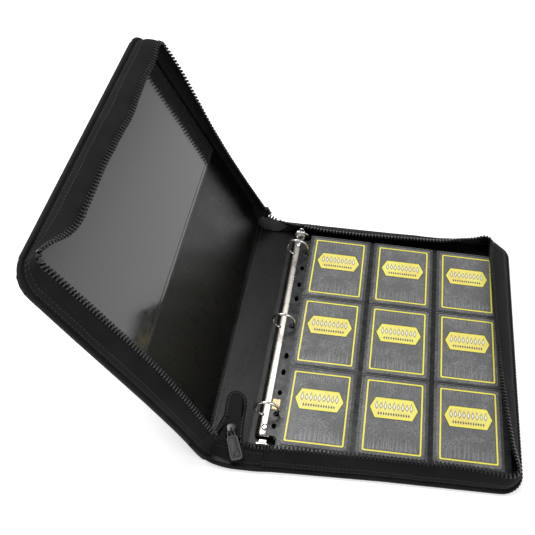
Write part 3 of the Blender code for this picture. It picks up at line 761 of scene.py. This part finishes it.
def spine_faces():
    """Skin and lining of the spine panel."""
    s0, s1 = GUTTER - 0.7, SPINE_WIDTH - GUTTER + 0.7
    s = np.linspace(s0, s1, 14)[:, None]
    spine_slab(s, (0.6, 0.6), 90, lambda s, y: 0.1 - 0.4 * np.sin(pi * (s - s0) / (s1 - s0)),
               SKIN_TOP).finish("spine_skin", [SKIN], "spine", "skin", "spine_outer_cover")
    made = spine_slab(s, (3.4, 3.4), 90,
                      lambda s, y: LINING_TOP - 0.1 + 0.12 * np.sin(y / 19.0 + s / 8.0),
                      LINING_LOW)
    sewn_line(made, "spine", s1 - 1.8, np.linspace(-140, 150, 110), LINING_TOP + 0.05, 0.95)
    made.finish("spine_lining_leather", [LINING, THREAD], "spine", "lining", "spine_lining")


for face in (skin, board):
    for cover in ("back", "front"):
        face(cover, cover + "_cover")
spine_board()
lining("back", "back_cover", 0.5)
lining("front", "front_cover", 1.0)
spine_faces()


def fold_liner(name, bodies, first, second, hinge_side, hinge_height):
    """Soft lining that bridges the gap between two panels at a fold, with a shallow groove."""
    y = np.linspace(COVER_NEAR + 12, COVER_FAR - 6, 70)
    start, end = (on_cover(side, s, y, LINING_TOP - 0.2) for side, s in (first, second))
    hinge = on_cover(hinge_side, 0.0, y, hinge_height)
    upper = np.stack([(1 - t) ** 2 * start + 2 * t * (1 - t) * hinge + t ** 2 * end
                      for t in np.linspace(0, 1, 13)])
    normal = unit(np.cross(np.gradient(upper, axis=0), np.gradient(upper, axis=1)))
    under = [row - n * 0.5 * MM * np.sign(n[:, 2:3].mean()) for row, n in zip(upper, normal)]
    Build().shell(upper, np.stack(under)).finish(
        name, [LINING], None, "lining",
        blend=(*bodies, tuple(start.mean(axis=0)), tuple(end.mean(axis=0))))


fold_liner("fold_liner_back", ("back_cover", "spine"), ("back", GUTTER + 0.1),
           ("spine", GUTTER + 0.1), "back", LINING_TOP - 0.45)
fold_liner("fold_liner_front", ("spine", "front_cover"), ("spine", SPINE_WIDTH - GUTTER - 0.1),
           ("front", GUTTER + 0.1), "front", FOLD_HEIGHT - 0.3)


def pocket():
    """Clear smoked vinyl pocket of the front cover, with its welded rim and open hem."""
    def top(s, y):
        edge = np.minimum.reduce([COVER_WIDTH - s, y - COVER_NEAR, COVER_FAR - y]) - POCKET_INSET
        lift = 0.5 * (1 - np.exp(-np.maximum(edge, 0) / 14.0))
        return LINING_TOP + 0.75 + lift + 0.12 * np.sin(s / 29 + y / 53)
    made = slab("front", POCKET_MOUTH, POCKET_INSET, top, lambda s, y: top(s, y) - 0.3, (60, 80))
    y = np.linspace(COVER_NEAR + 10, COVER_FAR - 10, 90)
    for s, wide in ((POCKET_MOUTH + 0.4, 0.45), (POCKET_MOUTH + 4.2, 0.22)):
        made.tube(on_cover("front", s, y, top(np.full(90, s), y) + 0.1), wide * MM, 8, 1)
    made.finish("front_pocket_sheet", [SMOKED, WELDED], "front_cover", "pocket", "front_pocket")


pocket()


# ---- spine ends: gathered gusset
FAR_FOOT = [("front", 26, 161.3, 3.7), ("front", 9, 161.6, 3.4), ("spine", 32, 161.8, 2.8),
            ("spine", 19, 161.9, 2.6), ("spine", 6, 161.8, 2.8), ("back", 8, 161.6, 3.4),
            ("back", 23, 161.3, 3.7)]
FAR_TOP = [("front", 26, 153.6, 20.6), ("front", 12, 154.5, 19.8), ("spine", 33, 156.0, 17.4),
           ("spine", 20, 154.5, 12.6), ("spine", 8, 152.5, 12.4), ("back", 6, 148.5, 15.8),
           ("back", 23, 145.8, 19.4)]
FAR_INNER = [("front", 26, 158.5, 3.7), ("front", 10, 153, 3.5), ("spine", 31, 148.5, 3.5),
             ("spine", 19, 147, 3.5), ("spine", 6, 149.5, 3.5), ("back", 8, 155, 3.6),
             ("back", 23, 158.5, 3.7)]
NEAR_FOOT = [("front", 26, -157.0, 3.7), ("front", 9, -156.6, 3.4), ("spine", 34, -156.4, 2.8),
             ("spine", 19, -160.4, 2.6), ("spine", 6, -160.8, 2.8), ("back", 8, -160.6, 3.4),
             ("back", 23, -159.8, 3.7)]
NEAR_TOP = [("front", 26, -145.6, 19.4), ("front", 9, -142.6, 14.2), ("spine", 31, -141.2, 9.0),
            ("spine", 19, -141.8, 7.4), ("spine", 6, -143.0, 8.4), ("back", 6, -146.5, 13.6),
            ("back", 23, -149.4, 19.2)]
NEAR_INNER = [("front", 26, -153.4, 3.7), ("front", 9, -145, 3.6), ("spine", 31, -140.4, 4.4),
              ("spine", 19, -140.4, 4.4), ("spine", 6, -141.2, 4.4), ("back", 8, -148, 3.6),
              ("back", 23, -154.8, 3.7)]


def on_panels(points):
    """World millimetres of (panel, s, y, height) points."""
    return [on_cover(*point) / MM for point in points]


def bowed(start, control, end, turns):
    """Rows of points bowed from one line to another past a control line."""
    start, control, end = start[:, None], control[:, None], end[:, None]
    return (1 - turns) ** 2 * start + 2 * turns * (1 - turns) * control + turns ** 2 * end


def between(line, count):
    """A line resampled to a number of points."""
    share = np.linspace(0, 1, count)
    return np.stack([np.interp(share, np.linspace(0, 1, len(line)), line[:, k])
                     for k in range(3)], axis=1)


def spine_end(name, foot, top, inner, pleats, folds, teeth_kept, replaced):
    """Gathered gusset of one spine end, in two halves, one over each fold."""
    lines = [smooth_path(on_panels(points), 0.8) for points in (foot, top, inner)]
    middle = on_cover("spine", SPINE_WIDTH / 2, 0.0, 0.0)[0] / MM
    out = np.array([0.0, np.sign(foot[3][2]), 0.0])
    halves = (("front", ("spine", "front_cover"), lambda x: x <= middle + 0.5,
               on_cover("spine", SPINE_WIDTH - 8, 0, 6), on_cover("front", 8, 0, 6)),
              ("back", ("back_cover", "spine"), lambda x: x >= middle - 0.5,
               on_cover("back", 7, 0, 6), on_cover("spine", 8, 0, 6)))
    count, turns = 90, np.linspace(0, 1, 10)[None, :, None]
    along = np.linspace(0, 1, count)
    share = along[:, None, None]
    pleat = out * folds * np.sin(2 * pi * pleats * share) * np.sin(pi * share) ** 0.5
    pleat = pleat * np.sin(pi * turns)
    face = np.tile(unit(out + np.array([0, 0, 0.5])), (count, 1))
    for word, bodies, mine, start, end in halves:
        low, high, back = (between(line[mine(line[:, 0])], count) for line in lines)
        outer = bowed(low, (low + high) / 2 + out * 2.6, high, turns) + pleat
        inside = bowed(high, (high + back) / 2 + out * 1.2, back, turns) - pleat
        loops = np.concatenate([outer, inside[:, 1:]], axis=1) * MM
        made = Build().loft(loops, 0, strip_of(loops))
        for j in (2, 7):
            stitches(made, outer[:, j] * MM, face)
        rise = unit(high - low * 0.6 - back * 0.4)
        kept = (along > teeth_kept[word][0]) & (along < teeth_kept[word][1])
        made.tube((low + out * 1.9 - (0, 0, 0.6)) * MM, PIPING_RADIUS * MM, 12, 4)
        teeth(made, (high + rise * 0.9)[kept] * MM, rise[kept], 2)
        if (name, word) == ("far_gusset", "front"):
            fan(made)
        cloth = made.finish(name + "_" + word, [WALL, THREAD, TOOTH, PLEAT_HIGHLIGHT, BINDING], None,
                            "gusset", *([replaced] if word == "back" else []),
                            blend=(*bodies, tuple(start), tuple(end)))


def fan(build):
    """Ribs of the pleated tape where the zip bends round the far end of the spine, coloured lighter
    than the tape as painted highlight on their ridges.
    """
    heart = on_panels([("spine", 33.5, 154.6, 16.4)])[0]
    rim = smooth_path(on_panels([("front", 9, 151, 4.8), ("front", 4, 148.5, 4.2),
                                 ("spine", 32, 146.0, 4.2), ("spine", 24, 145.2, 4.2),
                                 ("spine", 15, 145.8, 4.8), ("spine", 9, 148.4, 7.6),
                                 ("spine", 6, 150.0, 10.0)]), 0.5)
    for end in between(rim, 13):
        start = heart + 0.14 * (end - heart)
        middle = (start + end) / 2 + (0, -0.6, 0.9)
        line = smooth_path([start, middle, end], 0.8)
        build.tube(line * MM, np.linspace(0.45, 1.15, len(line)) * MM, 8, 3)


spine_end("far_gusset", FAR_FOOT, FAR_TOP, FAR_INNER, 9, 0.5,
          {"front": (0.14, 2.0), "back": (0.14, 0.86)}, "spine_gusset_far")
spine_end("near_gusset", NEAR_FOOT, NEAR_TOP, NEAR_INNER, 2, 0.3,
          {"front": (0.14, 0.5), "back": (0.4, 0.84)}, "spine_gusset_near")


# ---- zip garage, slider and pull
def garage():
    """Sewn tab over the parked slider, flared towards it, with near-black tubes painting the shadow
    of its folds.
    """
    outline = smooth_path([(-4.6, -139.4), (-7.0, -128), (-8.2, -113), (-8.8, -98), (-10.8, -89),
                           (-15.4, -83.8), (-20.4, -82.2), (-25.6, -83.6), (-28.8, -88.6),
                           (-29.4, -98), (-28.8, -110), (-31.0, -120), (-33.6, -130),
                           (-34.4, -139.4)], 1.5)
    sewn = len(outline)
    outline = np.vstack([outline, raised(np.linspace(-33, -6, 16), -139.7)])
    made = Build().levels(SPINE_FACE, outline, ((0.0, 3.5), (0.0, 4.1), (0.4, 4.5), (1.1, 4.65),
                                                (2.5, 4.5), (3.8, 4.75), (6.0, 5.0)))
    seam = shrunk(outline, 2.2)[:sewn]
    stitches(made, place(SPINE_FACE, raised(seam, 4.6)), np.tile(SPINE[0][:, 2], (sewn, 1)))
    # near-black tubes along the tab: painted shadow of its folds, not a separate fabric
    for path, width in (([(-14.6, -88.4), (-12.4, -97), (-11.6, -106), (-10.9, -115)], 1.2),
                        ([(-27.0, -112), (-24.6, -113.6), (-21.6, -115.4)], 0.6),
                        ([(-27.8, -110), (-30.0, -118), (-32.0, -127)], 0.5)):
        line = smooth_path(raised(path, 4.85), 1.0)
        swell = np.hypot(0.15, width * np.sin(np.linspace(0, pi, len(line))))
        made.tube(place(SPINE_FACE, line), swell * MM, 8, 2)
    made.finish("zip_garage_tab", [BINDING, LIGHT_THREAD, SHADE], "spine", "tape", "zip_garage")


garage()

SLIDER_X, SLIDER_Y = -19.0, -128.0


# outline of a slider plate: wide mouth away from the pull, narrow tail
SHIELD_HALF = [(0.0, 6.6), (2.2, 6.3), (4.2, 5.0), (5.0, 3.0), (4.6, 0.6), (3.6, -2.0),
               (3.3, -5.0), (2.4, -6.4), (0.0, -6.8)]
SHIELD = np.array(SHIELD_HALF[::-1] + [(-x, y) for x, y in SHIELD_HALF[1:-1]])


def slider():
    """Two shield-shaped plates with a post and side rails, and the bail on top."""
    made = Build()
    for low, high in ((5.2, 6.3), (8.0, 9.2)):
        made.levels(SPINE_FACE, SHIELD + (SLIDER_X, SLIDER_Y),
                    ((0.45, low), (0.0, low + 0.3), (0.0, high - 0.35), (0.35, high),
                     (1.6, high + 0.25)))
    made.levels(SPINE_FACE, rounded(-1.0, 1.0, 1.0, 5.6, 0.8) + (SLIDER_X, SLIDER_Y),
                ((0.0, 5.8), (0.0, 8.4)))
    for sign in (-1, 1):
        rail = [(SLIDER_X + sign * x, SLIDER_Y + y, 7.2) for x, y in
                ((3.1, -6.0), (3.3, -4.0), (3.7, -1.5), (4.5, 1.0), (4.8, 3.2), (4.3, 4.6))]
        made.tube(place(SPINE_FACE, smooth_path(rail, 0.6)), 0.55 * MM, 8, 0, 2.0)
    made.finish("slider_body", [GUN], "slider", "slider", "zip_slider")

    arch = [(SLIDER_X, SLIDER_Y + y, z) for y, z in
            ((0.4, 9.2), (0.2, 10.6), (-0.8, 11.9), (-3.0, 12.3), (-5.0, 11.8), (-5.9, 10.6),
             (-6.0, 9.2))]
    Build().tube(place(SPINE_FACE, smooth_path(arch, 0.4)), 0.75 * MM, 12, 0, 1.35).finish(
        "slider_bail", [GUN], "slider", "slider", "slider_bridge")


slider()


def pull_space():
    """Rotation and origin of the pull's own axes: along it is -Y, up is +Z."""
    tilt, origin = SPINE
    yaw = radians(22.5)
    turn = np.array([[cos(yaw), -sin(yaw), 0], [sin(yaw), cos(yaw), 0], [0, 0, 1]])
    pivot = np.array([SLIDER_X, SLIDER_Y - 3.0, 10.5 - FOLD_HEIGHT])
    return tilt @ turn, pivot @ tilt.T + origin


def pull():
    """Wire stirrup and moulded grip that hang from the bail; the grip's outer rim is lighter rubber
    as painted highlight.
    """
    where = pull_space()
    loop = raised([(-3.3, -6.2), (-3.4, -4.0), (-3.1, -1.2), (-1.6, 0.0), (1.6, 0.0), (3.1, -1.2),
                   (3.4, -4.0), (3.3, -6.2)], 0.0)
    Build().tube(place(where, smooth_path(loop, 0.4)), 0.7 * MM, 12).finish(
        "pull_stirrup", [GUN], "pull", "link", "pull_link")
    outline = rounded(-6.1, -30.6, 6.1, -5.4, 3.6, 8)
    outline[:, 0] *= np.interp(outline[:, 1], (-30.6, -5.4), (1.0, 0.86))
    # outer body in the lighter rubber as painted rim highlight; the inner panel and the pad use the
    # dark rubber
    made = Build().levels(where, outline, ((0.7, -1.25), (0.0, -0.7), (0.0, 0.7), (0.35, 1.15),
                                           (0.9, 1.3), (1.5, 1.15), (1.8, 0.75)), 1)
    made.levels(where, shrunk(outline, 1.85), ((0.0, 0.5), (0.0, 0.95), (0.4, 1.15)))
    made.levels(where, rounded(-3.3, -28.0, 3.3, -22.5, 2.2),
                ((0.0, 1.1), (0.0, 1.32), (0.35, 1.4), (0.9, 1.3), (1.1, 1.16)))
    made.finish("pull_grip", [RUBBER, RUBBER_RIM_HIGHLIGHT], "pull", "pull", "pull_tab")


pull()


# ---- ring mechanism
def plate_profile(shrink):
    """Arched section of the ring plate from its right foot over the top to its left foot."""
    right = np.array([(9.0, PLATE_BASE), (9.0, 4.3), (8.5, 5.4), (7.7, 6.6), (6.9, 7.8), (6.2, 8.8),
                      (5.5, 9.55), (4.7, 10.05), (3.7, 10.35), (2.0, 10.52), (0.0, PLATE_TOP)])
    ahead = unit(np.gradient(right, axis=0))
    right = right - shrink * np.column_stack([ahead[:, 1], -ahead[:, 0]])
    right[0, 1], right[-1, 0] = PLATE_BASE, 0.0
    return np.vstack([right, right[-2::-1] * (-1, 1)])


def cut(obj, cutter, body):
    """Cuts a Build's shapes out of an object's mesh."""
    tool = cutter.finish("cutter", [NICKEL], body, smooth=False)
    step = obj.modifiers.new("cut", "BOOLEAN")
    step.operation, step.solver, step.object = "DIFFERENCE", "EXACT", tool
    graph = bpy.context.evaluated_depsgraph_get()
    baked = bpy.data.meshes.new_from_object(obj.evaluated_get(graph), depsgraph=graph)
    obj.modifiers.clear()
    obj.data = baked
    bpy.data.objects.remove(tool)


def ring_plate():
    """Arched plate with slots for the rings, rivet holes and two slits."""
    ys = np.concatenate([[-131, -130.4, -129], np.linspace(-127, 127, 90), [129, 130.4, 131]])
    pinch = np.interp(np.abs(ys), (0, 127, 129, 130.4, 131), (1, 1, 0.97, 0.9, 0.84))
    grids = []
    for section in (plate_profile(0.0), plate_profile(0.9)):
        x = section[None, :, 0] * pinch[:, None]
        z = PLATE_BASE + (section[None, :, 1] - PLATE_BASE) * (0.25 + 0.75 * pinch[:, None])
        grids.append(place(RING, np.stack([x, ys[:, None] + 0 * x, z], axis=-1)))
    plate = Build().shell(*grids).finish("nickel_plate", [PLATE_NICKEL], "back_cover",
                                         "nickel", "ring_plate")
    cutter = Build()
    for y in RING_LINES.values():
        for x in (-4.25, 4.25):
            cutter.levels(RING, rounded(x - 1.75, y - 1.75, x + 1.75, y + 1.75, 1.6),
                          ((0, PLATE_BASE + 2.2), (0, PLATE_TOP + 1)))
    for y in (-RIVET_Y, RIVET_Y):
        cutter.levels(RING, rounded(-2.2, y - 2.2, 2.2, y + 2.2, 2.2),
                      ((0, PLATE_BASE + 3), (0, PLATE_TOP + 1)))
    for y in (88.0, -20.0):
        slit = np.array([(-4.6, y + 4.2), (5.4, y - 4.6), (5.6, y - 4.1), (-4.4, y + 4.7)])
        cutter.levels(RING, slit, ((0, PLATE_TOP - 1.0), (0, PLATE_TOP + 1)))
    cut(plate, cutter, "back_cover")
    plate.data.set_sharp_from_angle(angle=radians(38))


ring_plate()


def rivet(word, y):
    """Round rivet head, turned from its foot to its top."""
    profile = ((1.9, PLATE_BASE), (1.9, 10.9), (3.0, 10.9), (3.3, 11.15), (3.2, 11.5), (2.7, 11.85),
               (1.8, 12.1), (1.2, 12.15), (0.9, 12.0), (0.7, 11.6))
    Build().loft([place(RING, [(r * cos(a), y + r * sin(a), z) for a in round_turns(28)])
                  for r, z in profile]).finish(
        "rivet_head_" + word, [NICKEL], "back_cover", "nickel", "plate_rivet_" + word)


rivet("near", -RIVET_Y)
rivet("far", RIVET_Y)


def ring_half(side, number):
    """Half ring: wire from its foot to the interlocking joint at the top."""
    def arc(start, end, count):
        return [(side * RING_RADIUS * cos(a), RING_LINES[number], RING_CENTRE_Z
                 + RING_RADIUS * sin(a)) for a in np.linspace(start, end, count)]
    foot = [(side * 4.15, RING_LINES[number], z) for z in (7.4, 8.5)]
    made = Build().tube(place(RING, foot + arc(-1.199, pi / 2 - 0.013, 44)), RING_WIRE * MM, 18)
    made.tube(place(RING, arc(pi / 2 - 0.16, pi / 2 - 0.018, 5)), (RING_WIRE + 0.12) * MM, 18)
    word = "right" if side > 0 else "left"
    made.finish("ring_wire_%s_%d" % (word, number), [NICKEL], word + "_rings",
                "nickel", "ring_%s_%d" % (word, number))


for ring_number in RING_LINES:
    for ring_side in (-1, 1):
        ring_half(ring_side, ring_number)


def lever(word, sign):
    """Pressed tongue that leaves the plate end, turns up and rolls over at its tip."""
    def at_end(x, y, z):
        return place(RING, np.stack([x, sign * (LEVER_PIVOT[0] - y), LEVER_PIVOT[1] + z], axis=-1))

    def wire(points, radius):
        made.tube(smooth_path(at_end(*np.array(points, float).T) / MM, 0.4) * MM, radius * MM, 12)
    curve = smooth_path([(4.0, -1.0), (-1.5, -0.9), (-6.0, -0.6), (-8.9, 0.8), (-10.4, 3.6),
                         (-10.3, 6.1), (-8.8, 7.3), (-7.0, 7.0), (-6.3, 6.0)], 0.5)
    slope = unit(np.gradient(curve, axis=0))
    along = travelled(curve)
    half = np.interp(along, (0, 6, 9, along[-1] - 1.2, along[-1]),
                     (3.2, 3.6, LEVER_WIDTH / 2, LEVER_WIDTH / 2, LEVER_WIDTH / 2 - 0.5))
    x = np.linspace(-1, 1, 9)[None, :] * half[:, None]
    made = Build().shell(*(at_end(x, (curve[:, 0] - slope[:, 1] * offset)[:, None] + 0 * x,
                                  (curve[:, 1] + slope[:, 0] * offset)[:, None] + 0 * x)
                           for offset in (0.55, -0.55)))
    if word == "near":
        wire([(-4.9, -8.2, 6.4), (-2, -8.4, 6.7), (2, -8.4, 6.7), (4.9, -8.2, 6.4)], 1.35)
        wire([(4.4, -8.0, 5.6), (6.4, -8.6, 5.2), (7.6, -10.0, 3.4), (7.0, -11.4, 1.6)], 1.15)
    else:
        turns = np.linspace(-0.35 * pi, 1.35 * pi, 20)
        wire([(2.7 * cos(a) + 0.6, -8.9, 8.6 + 2.7 * sin(a)) for a in turns], 0.95)
        wire([(-2.0, -7.6, 3.4), (-4.6, -8.2, 4.4), (-6.4, -8.2, 3.2), (-6.0, -7.6, 1.2),
              (-4.4, -7.2, 0.8)], 0.85)
        wire([(2.2, -7.6, 4.2), (5.4, -8.2, 4.4), (8.0, -8.2, 3.0), (9.4, -7.8, 1.0),
              (8.2, -7.2, -0.4)], 0.95)
    made.finish("lever_tongue_" + word, [NICKEL], "lever_" + word, "nickel", "lever_" + word)


lever("near", -1)
lever("far", 1)


def fold_skin(name, bodies, panels, s0, near, replaced):
    """Outer leather that wraps round one fold."""
    first, second = panels
    y = np.linspace(near_edge(near, 0.0) + 0.7, COVER_FAR - 0.7, 60)
    hinge = on_cover(first, s0, y, FOLD_HEIGHT)
    down = unit(on_cover(first, s0, y, 0.0) - hinge)
    other = unit(on_cover(second, 0.0, y, 0.0) - on_cover(second, 0.0, y, FOLD_HEIGHT))
    reach = GUTTER - 0.15

    def sheet(depth):
        rows = [hinge + unit((1 - t) * down + t * other) * depth * MM
                for t in np.linspace(0, 1, 11)]
        return np.stack([on_cover(first, s0 + reach * (-1 if s0 else 1), y, FOLD_HEIGHT - depth),
                         *rows, on_cover(second, reach, y, FOLD_HEIGHT - depth)])
    outer = sheet(2.0)
    Build().shell(outer, sheet(1.25)).finish(
        name, [SKIN], None, "skin", replaced,
        blend=(*bodies, tuple(outer[0].mean(axis=0)), tuple(outer[-1].mean(axis=0))))


fold_skin("fold_skin_back", ("back_cover", "spine"), ("back", "spine"), 0.0, "back",
          "hinge_skin_back")
fold_skin("fold_skin_front", ("spine", "front_cover"), ("spine", "front"), SPINE_WIDTH, "front",
          "hinge_skin_front")


# ---- page and cards
def flat(build, outline, low, high, bevel=0.0, mat=0):
    """Thin plate on the page over an outline."""
    levels = [(0.0, low), (0.0, high - bevel)] + ([(bevel, high)] if bevel else [])
    return build.levels(PAGE, np.asarray(outline, float), levels, mat)


def band(build, outer, inner, low, high, mat=0):
    """Flat closed frame between two outlines of equal point count."""
    n = len(outer)
    verts = np.vstack([place(PAGE, raised(line, z)) for line, z in
                       ((outer, low), (outer, high), (inner, high), (inner, low))])
    faces = []
    for k in range(4):
        for i in range(n):
            j, m = (i + 1) % n, (k + 1) % 4
            faces.append((k * n + i, k * n + j, m * n + j, m * n + i))
    return build.add(verts, faces, mat)


def page_sheet():
    """Backing film of the page, with its notched hole strip, holes and slits."""
    notch_x, near, far = 13.0, -131.9, 127.0
    outline = [(notch_x, PAGE_NEAR), (PAGE_RIGHT, PAGE_NEAR), (PAGE_RIGHT, PAGE_FAR),
               (notch_x, PAGE_FAR), (notch_x, far + 2), (notch_x - 2, far), (PAGE_LEFT, far),
               (PAGE_LEFT, near), (notch_x - 2, near), (notch_x, near - 2)]
    sheet = flat(Build(), outline, *FILM).finish("page_backing", [SHEET, WELDED], "page",
                                                 "film", "page_film", smooth=False)
    cutter, through = Build(), (FILM[0] - 1, FILM[1] + 1)
    turns = round_turns(28)
    for y, wide, long in ((0.0, 3.0, 3.0), (38.5, 2.3, 3.8), (59.0, 2.3, 3.8), (83.5, 2.3, 3.0),
                          (108.0, 3.0, 3.0), (121.5, 2.3, 3.0)):
        for sign in ((1, -1) if y else (1,)):
            flat(cutter, np.column_stack([8.9 + wide * np.cos(turns),
                                          sign * y + long * np.sin(turns)]), *through)
    for y in (99.5, -8.5, -116.0):
        flat(cutter, [(5.6, y - 0.9), (11.8, y + 0.7), (11.7, y + 1.1), (5.5, y - 0.5)], *through)
    cut(sheet, cutter, "page")


page_sheet()


def page_windows():
    """The nine clear pocket fronts, their mouths, and the dotted welds between them."""
    made, seams = Build(), Build()
    half_x, half_y = WINDOW_HALF
    u = np.linspace(-1, 1, 22)[:, None]
    v = np.linspace(-1, 1, 28)[None, :]
    flank = (1 - np.abs(u) ** 10) * (1 - np.abs(v) ** 14)
    mouth = np.linspace(-1, 1, 24)
    for cx in COLUMNS:
        for cy in ROWS:
            x, y = cx + half_x * u + 0 * v, cy + half_y * v + 0 * u
            z = -6.85 + 1.25 * flank + 0.10 * np.sin(u * 3 + cx) * np.cos(v * 4 + cy) * flank
            made.shell(*(place(PAGE, np.stack([x, y, z - depth], axis=-1)) for depth in (0, 0.12)))
            line = np.column_stack([cx + half_x * mouth, np.full(24, cy + half_y - 0.3),
                                    -5.95 - 0.6 * np.abs(mouth) ** 8])
            seams.tube(place(PAGE, line), 0.24 * MM, 6, 0)
    made.finish("page_pocket_film", [WINDOW], "page", "clear_film", "page_pockets")
    dot = block((0.32 * MM, 0.55 * MM, 0.16 * MM), 0.12 * MM)
    for x in (3.4, 15.6, 85.5, 159.4, 233.6):
        ys = (np.arange(-131, 126, 2.7) if x < 5
              else np.arange(PAGE_NEAR + 2, PAGE_FAR - 2, 2.7))
        spots = place(PAGE, np.column_stack([np.full(len(ys), x), ys, np.full(len(ys), -6.95)]))
        seams.copies(dot, spots, np.tile(PAGE[0].T[None], (len(ys), 1, 1)), 1)
    seams.finish("page_seams", [CREASE, DOT], "page", "clear_film")


page_windows()


def card(row, column):
    """Trading card back: dark field, yellow border line, lozenge plaque and low spikes."""
    cx, cy = COLUMNS[column - 1], ROWS[row - 1]
    low, high = CARD
    made = Build()

    def centred(half_x, half_y, radius, x=cx, y=cy):
        return rounded(x - half_x, y - half_y, x + half_x, y + half_y, radius, 6)
    flat(made, centred(*CARD_HALF, 3.0), low, high, 0.12)
    rim = high + 0.07
    band(made, centred(28.9, 40.75, 1.9), centred(26.3, 38.15, 1.0), high, high + 0.04, 3)
    band(made, centred(28.4, 40.25, 1.6), centred(26.8, 38.65, 1.2), high, rim, 1)
    px, py = cx, cy + 8.6
    lozenge = np.array([(23.8, 0), (18.5, 11.6), (-18.5, 11.6), (-23.8, 0), (-18.5, -11.6),
                        (18.5, -11.6)]) + (px, py)
    flat(made, shrunk(lozenge, -0.8), high, high + 0.05, 0.0, 3)
    flat(made, lozenge, high, high + 0.10, 0.03, 1)
    inner = shrunk(lozenge, 2.0)
    flat(made, inner, high, high + 0.12, 0.0, 2)
    for i in range(9):
        x, y = px + (i - 4) * 4.3, py + 1.6
        tall = 5.2 if i % 2 else 6.4
        diamond = np.array([(x + 1.75, y), (x, y + tall), (x - 1.75, y), (x, y - tall * 0.62)])
        flat(made, diamond, high, high + 0.15, 0.0, 3)
        flat(made, shrunk(diamond, 0.5), high, high + 0.18, 0.0, 5)
    for i in range(13):
        x = px + (i - 6) * 2.5
        flat(made, [(x + 0.9, py - 6.6), (x, py - 4.6), (x - 0.9, py - 6.6), (x, py - 8.6)],
             high, high + 0.15, 0.0, 3)
    rng = np.random.default_rng(100 + row * 10 + column)
    for i in range(34):
        x = cx + (i - 16.5) * 1.5 + rng.uniform(-0.5, 0.5)
        tall = rng.uniform(9, 23) * (1 - 0.25 * abs(i - 16.5) / 17)
        lean = rng.uniform(-1.6, 1.6)
        base = cy - 37.2
        spike = np.array([(x + 0.55, base), (x + lean, base + tall), (x - 0.55, base)])
        flat(made, spike, high, high + rng.uniform(0.03, 0.07), 0.0, 4 if i % 3 else 0)
    for i in range(16):
        x = cx + (i - 7.5) * 3.2
        base = cy + 37.4
        ray = np.array([(x - 0.4, base), (x + rng.uniform(-2, 2), base - rng.uniform(5, 12)),
                        (x + 0.4, base)])
        flat(made, ray, high, high + 0.05, 0.0, 4)
    made.finish("card_face_%d%d" % (row, column), [FIELD, YELLOW, GOLD, INK, RELIEF, PALE], "page",
                "card", "card_%d%d" % (row, column), smooth=False)


for card_row in (1, 2, 3):
    for card_column in (1, 2, 3):
        card(card_row, card_column)

foil = Build()
flat(foil, rounded(3.6, -103.4, 10.9, -91.6, 0.9), -6.75, -6.45, 0.08)
foil.finish("foil_label", [FOIL], "page", "foil", "foil_sticker", smooth=False)

# ---- CAD nodes that stay
KEPT = {"ring_rail_left": NICKEL_DARK, "ring_rail_right": NICKEL_DARK}
for node_name, mat in KEPT.items():
    for material_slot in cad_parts[node_name].material_slots:
        material_slot.material = mat


# ---- floor, light and camera
def stage():
    """Pale floor that the binder lies on."""
    mesh = bpy.data.meshes.new("floor")
    size, height = 6.0, -0.0007
    mesh.from_pydata([(-size, -size, height), (size, -size, height), (size, size, height),
                      (-size, size, height)], [], [(0, 1, 2, 3)])
    floor = bpy.data.objects.new("floor", mesh)
    bpy.context.scene.collection.objects.link(floor)
    paint = Shader("floor_paint", (0.93, 0.93, 0.93), 0.9, Specular_IOR_Level=0.1,
                   Emission_Color=(1, 1, 1, 1), Emission_Strength=0.40)
    paint.tint(paint.noise(3.0), (0.92, 0.92, 0.92), (0.94, 0.94, 0.94))
    mesh.materials.append(paint.mat)


def area_light(name, position, target, size, power):
    lamp = bpy.data.lights.new(name, "AREA")
    lamp.shape, lamp.size, lamp.size_y, lamp.energy = "RECTANGLE", size[0], size[1], power
    obj = bpy.data.objects.new(name, lamp)
    bpy.context.scene.collection.objects.link(obj)
    obj.location = position
    obj.rotation_euler = (Vector(target) - Vector(position)).to_track_quat("-Z", "Y").to_euler()


def light():
    """Soft studio light from two sides and a white surround."""
    world = bpy.data.worlds.new("studio")
    world.use_nodes = True
    background = world.node_tree.nodes["Background"]
    background.inputs["Color"].default_value = (1.0, 1.0, 1.0, 1.0)
    background.inputs["Strength"].default_value = 0.38
    bpy.context.scene.world = world
    area_light("key_light", (-0.5, 0.5, 1.5), (0.0, 0.0, 0.05), (1.2, 0.8), 20.0)
    area_light("fill_light", (0.9, -0.9, 1.2), (0.0, 0.0, 0.05), (0.9, 0.9), 9.0)
    bpy.context.scene.view_settings.view_transform = "Standard"


CAMERA_POSITION = Vector((0.038505, -0.486678, 0.645870))
CAMERA_FORWARD = Vector((-0.0048474, 0.6457216, -0.7635576))
CAMERA_ROLL = radians(5.643)
CAMERA_LENS = 50.59                       # millimetres on a 36 mm sensor
CAMERA_SHIFT = (-0.1706, 0.0553)


def camera():
    """Camera matched to the view of the binder."""
    forward = CAMERA_FORWARD.normalized()
    level = forward.cross(Vector((0, 0, 1))).normalized()
    upright = level.cross(forward)
    right = cos(CAMERA_ROLL) * level + sin(CAMERA_ROLL) * upright
    up = cos(CAMERA_ROLL) * upright - sin(CAMERA_ROLL) * level
    data = bpy.data.cameras.new("camera")
    data.sensor_width, data.lens = 36.0, CAMERA_LENS
    data.shift_x, data.shift_y = CAMERA_SHIFT
    data.clip_start, data.clip_end = 0.01, 50.0
    obj = bpy.data.objects.new("camera", data)
    bpy.context.scene.collection.objects.link(obj)
    turn = Matrix((right, up, -forward)).transposed().to_4x4()
    obj.matrix_world = Matrix.Translation(CAMERA_POSITION) @ turn
    bpy.context.scene.camera = obj


stage()
light()
camera()

bpy.context.view_layer.update()
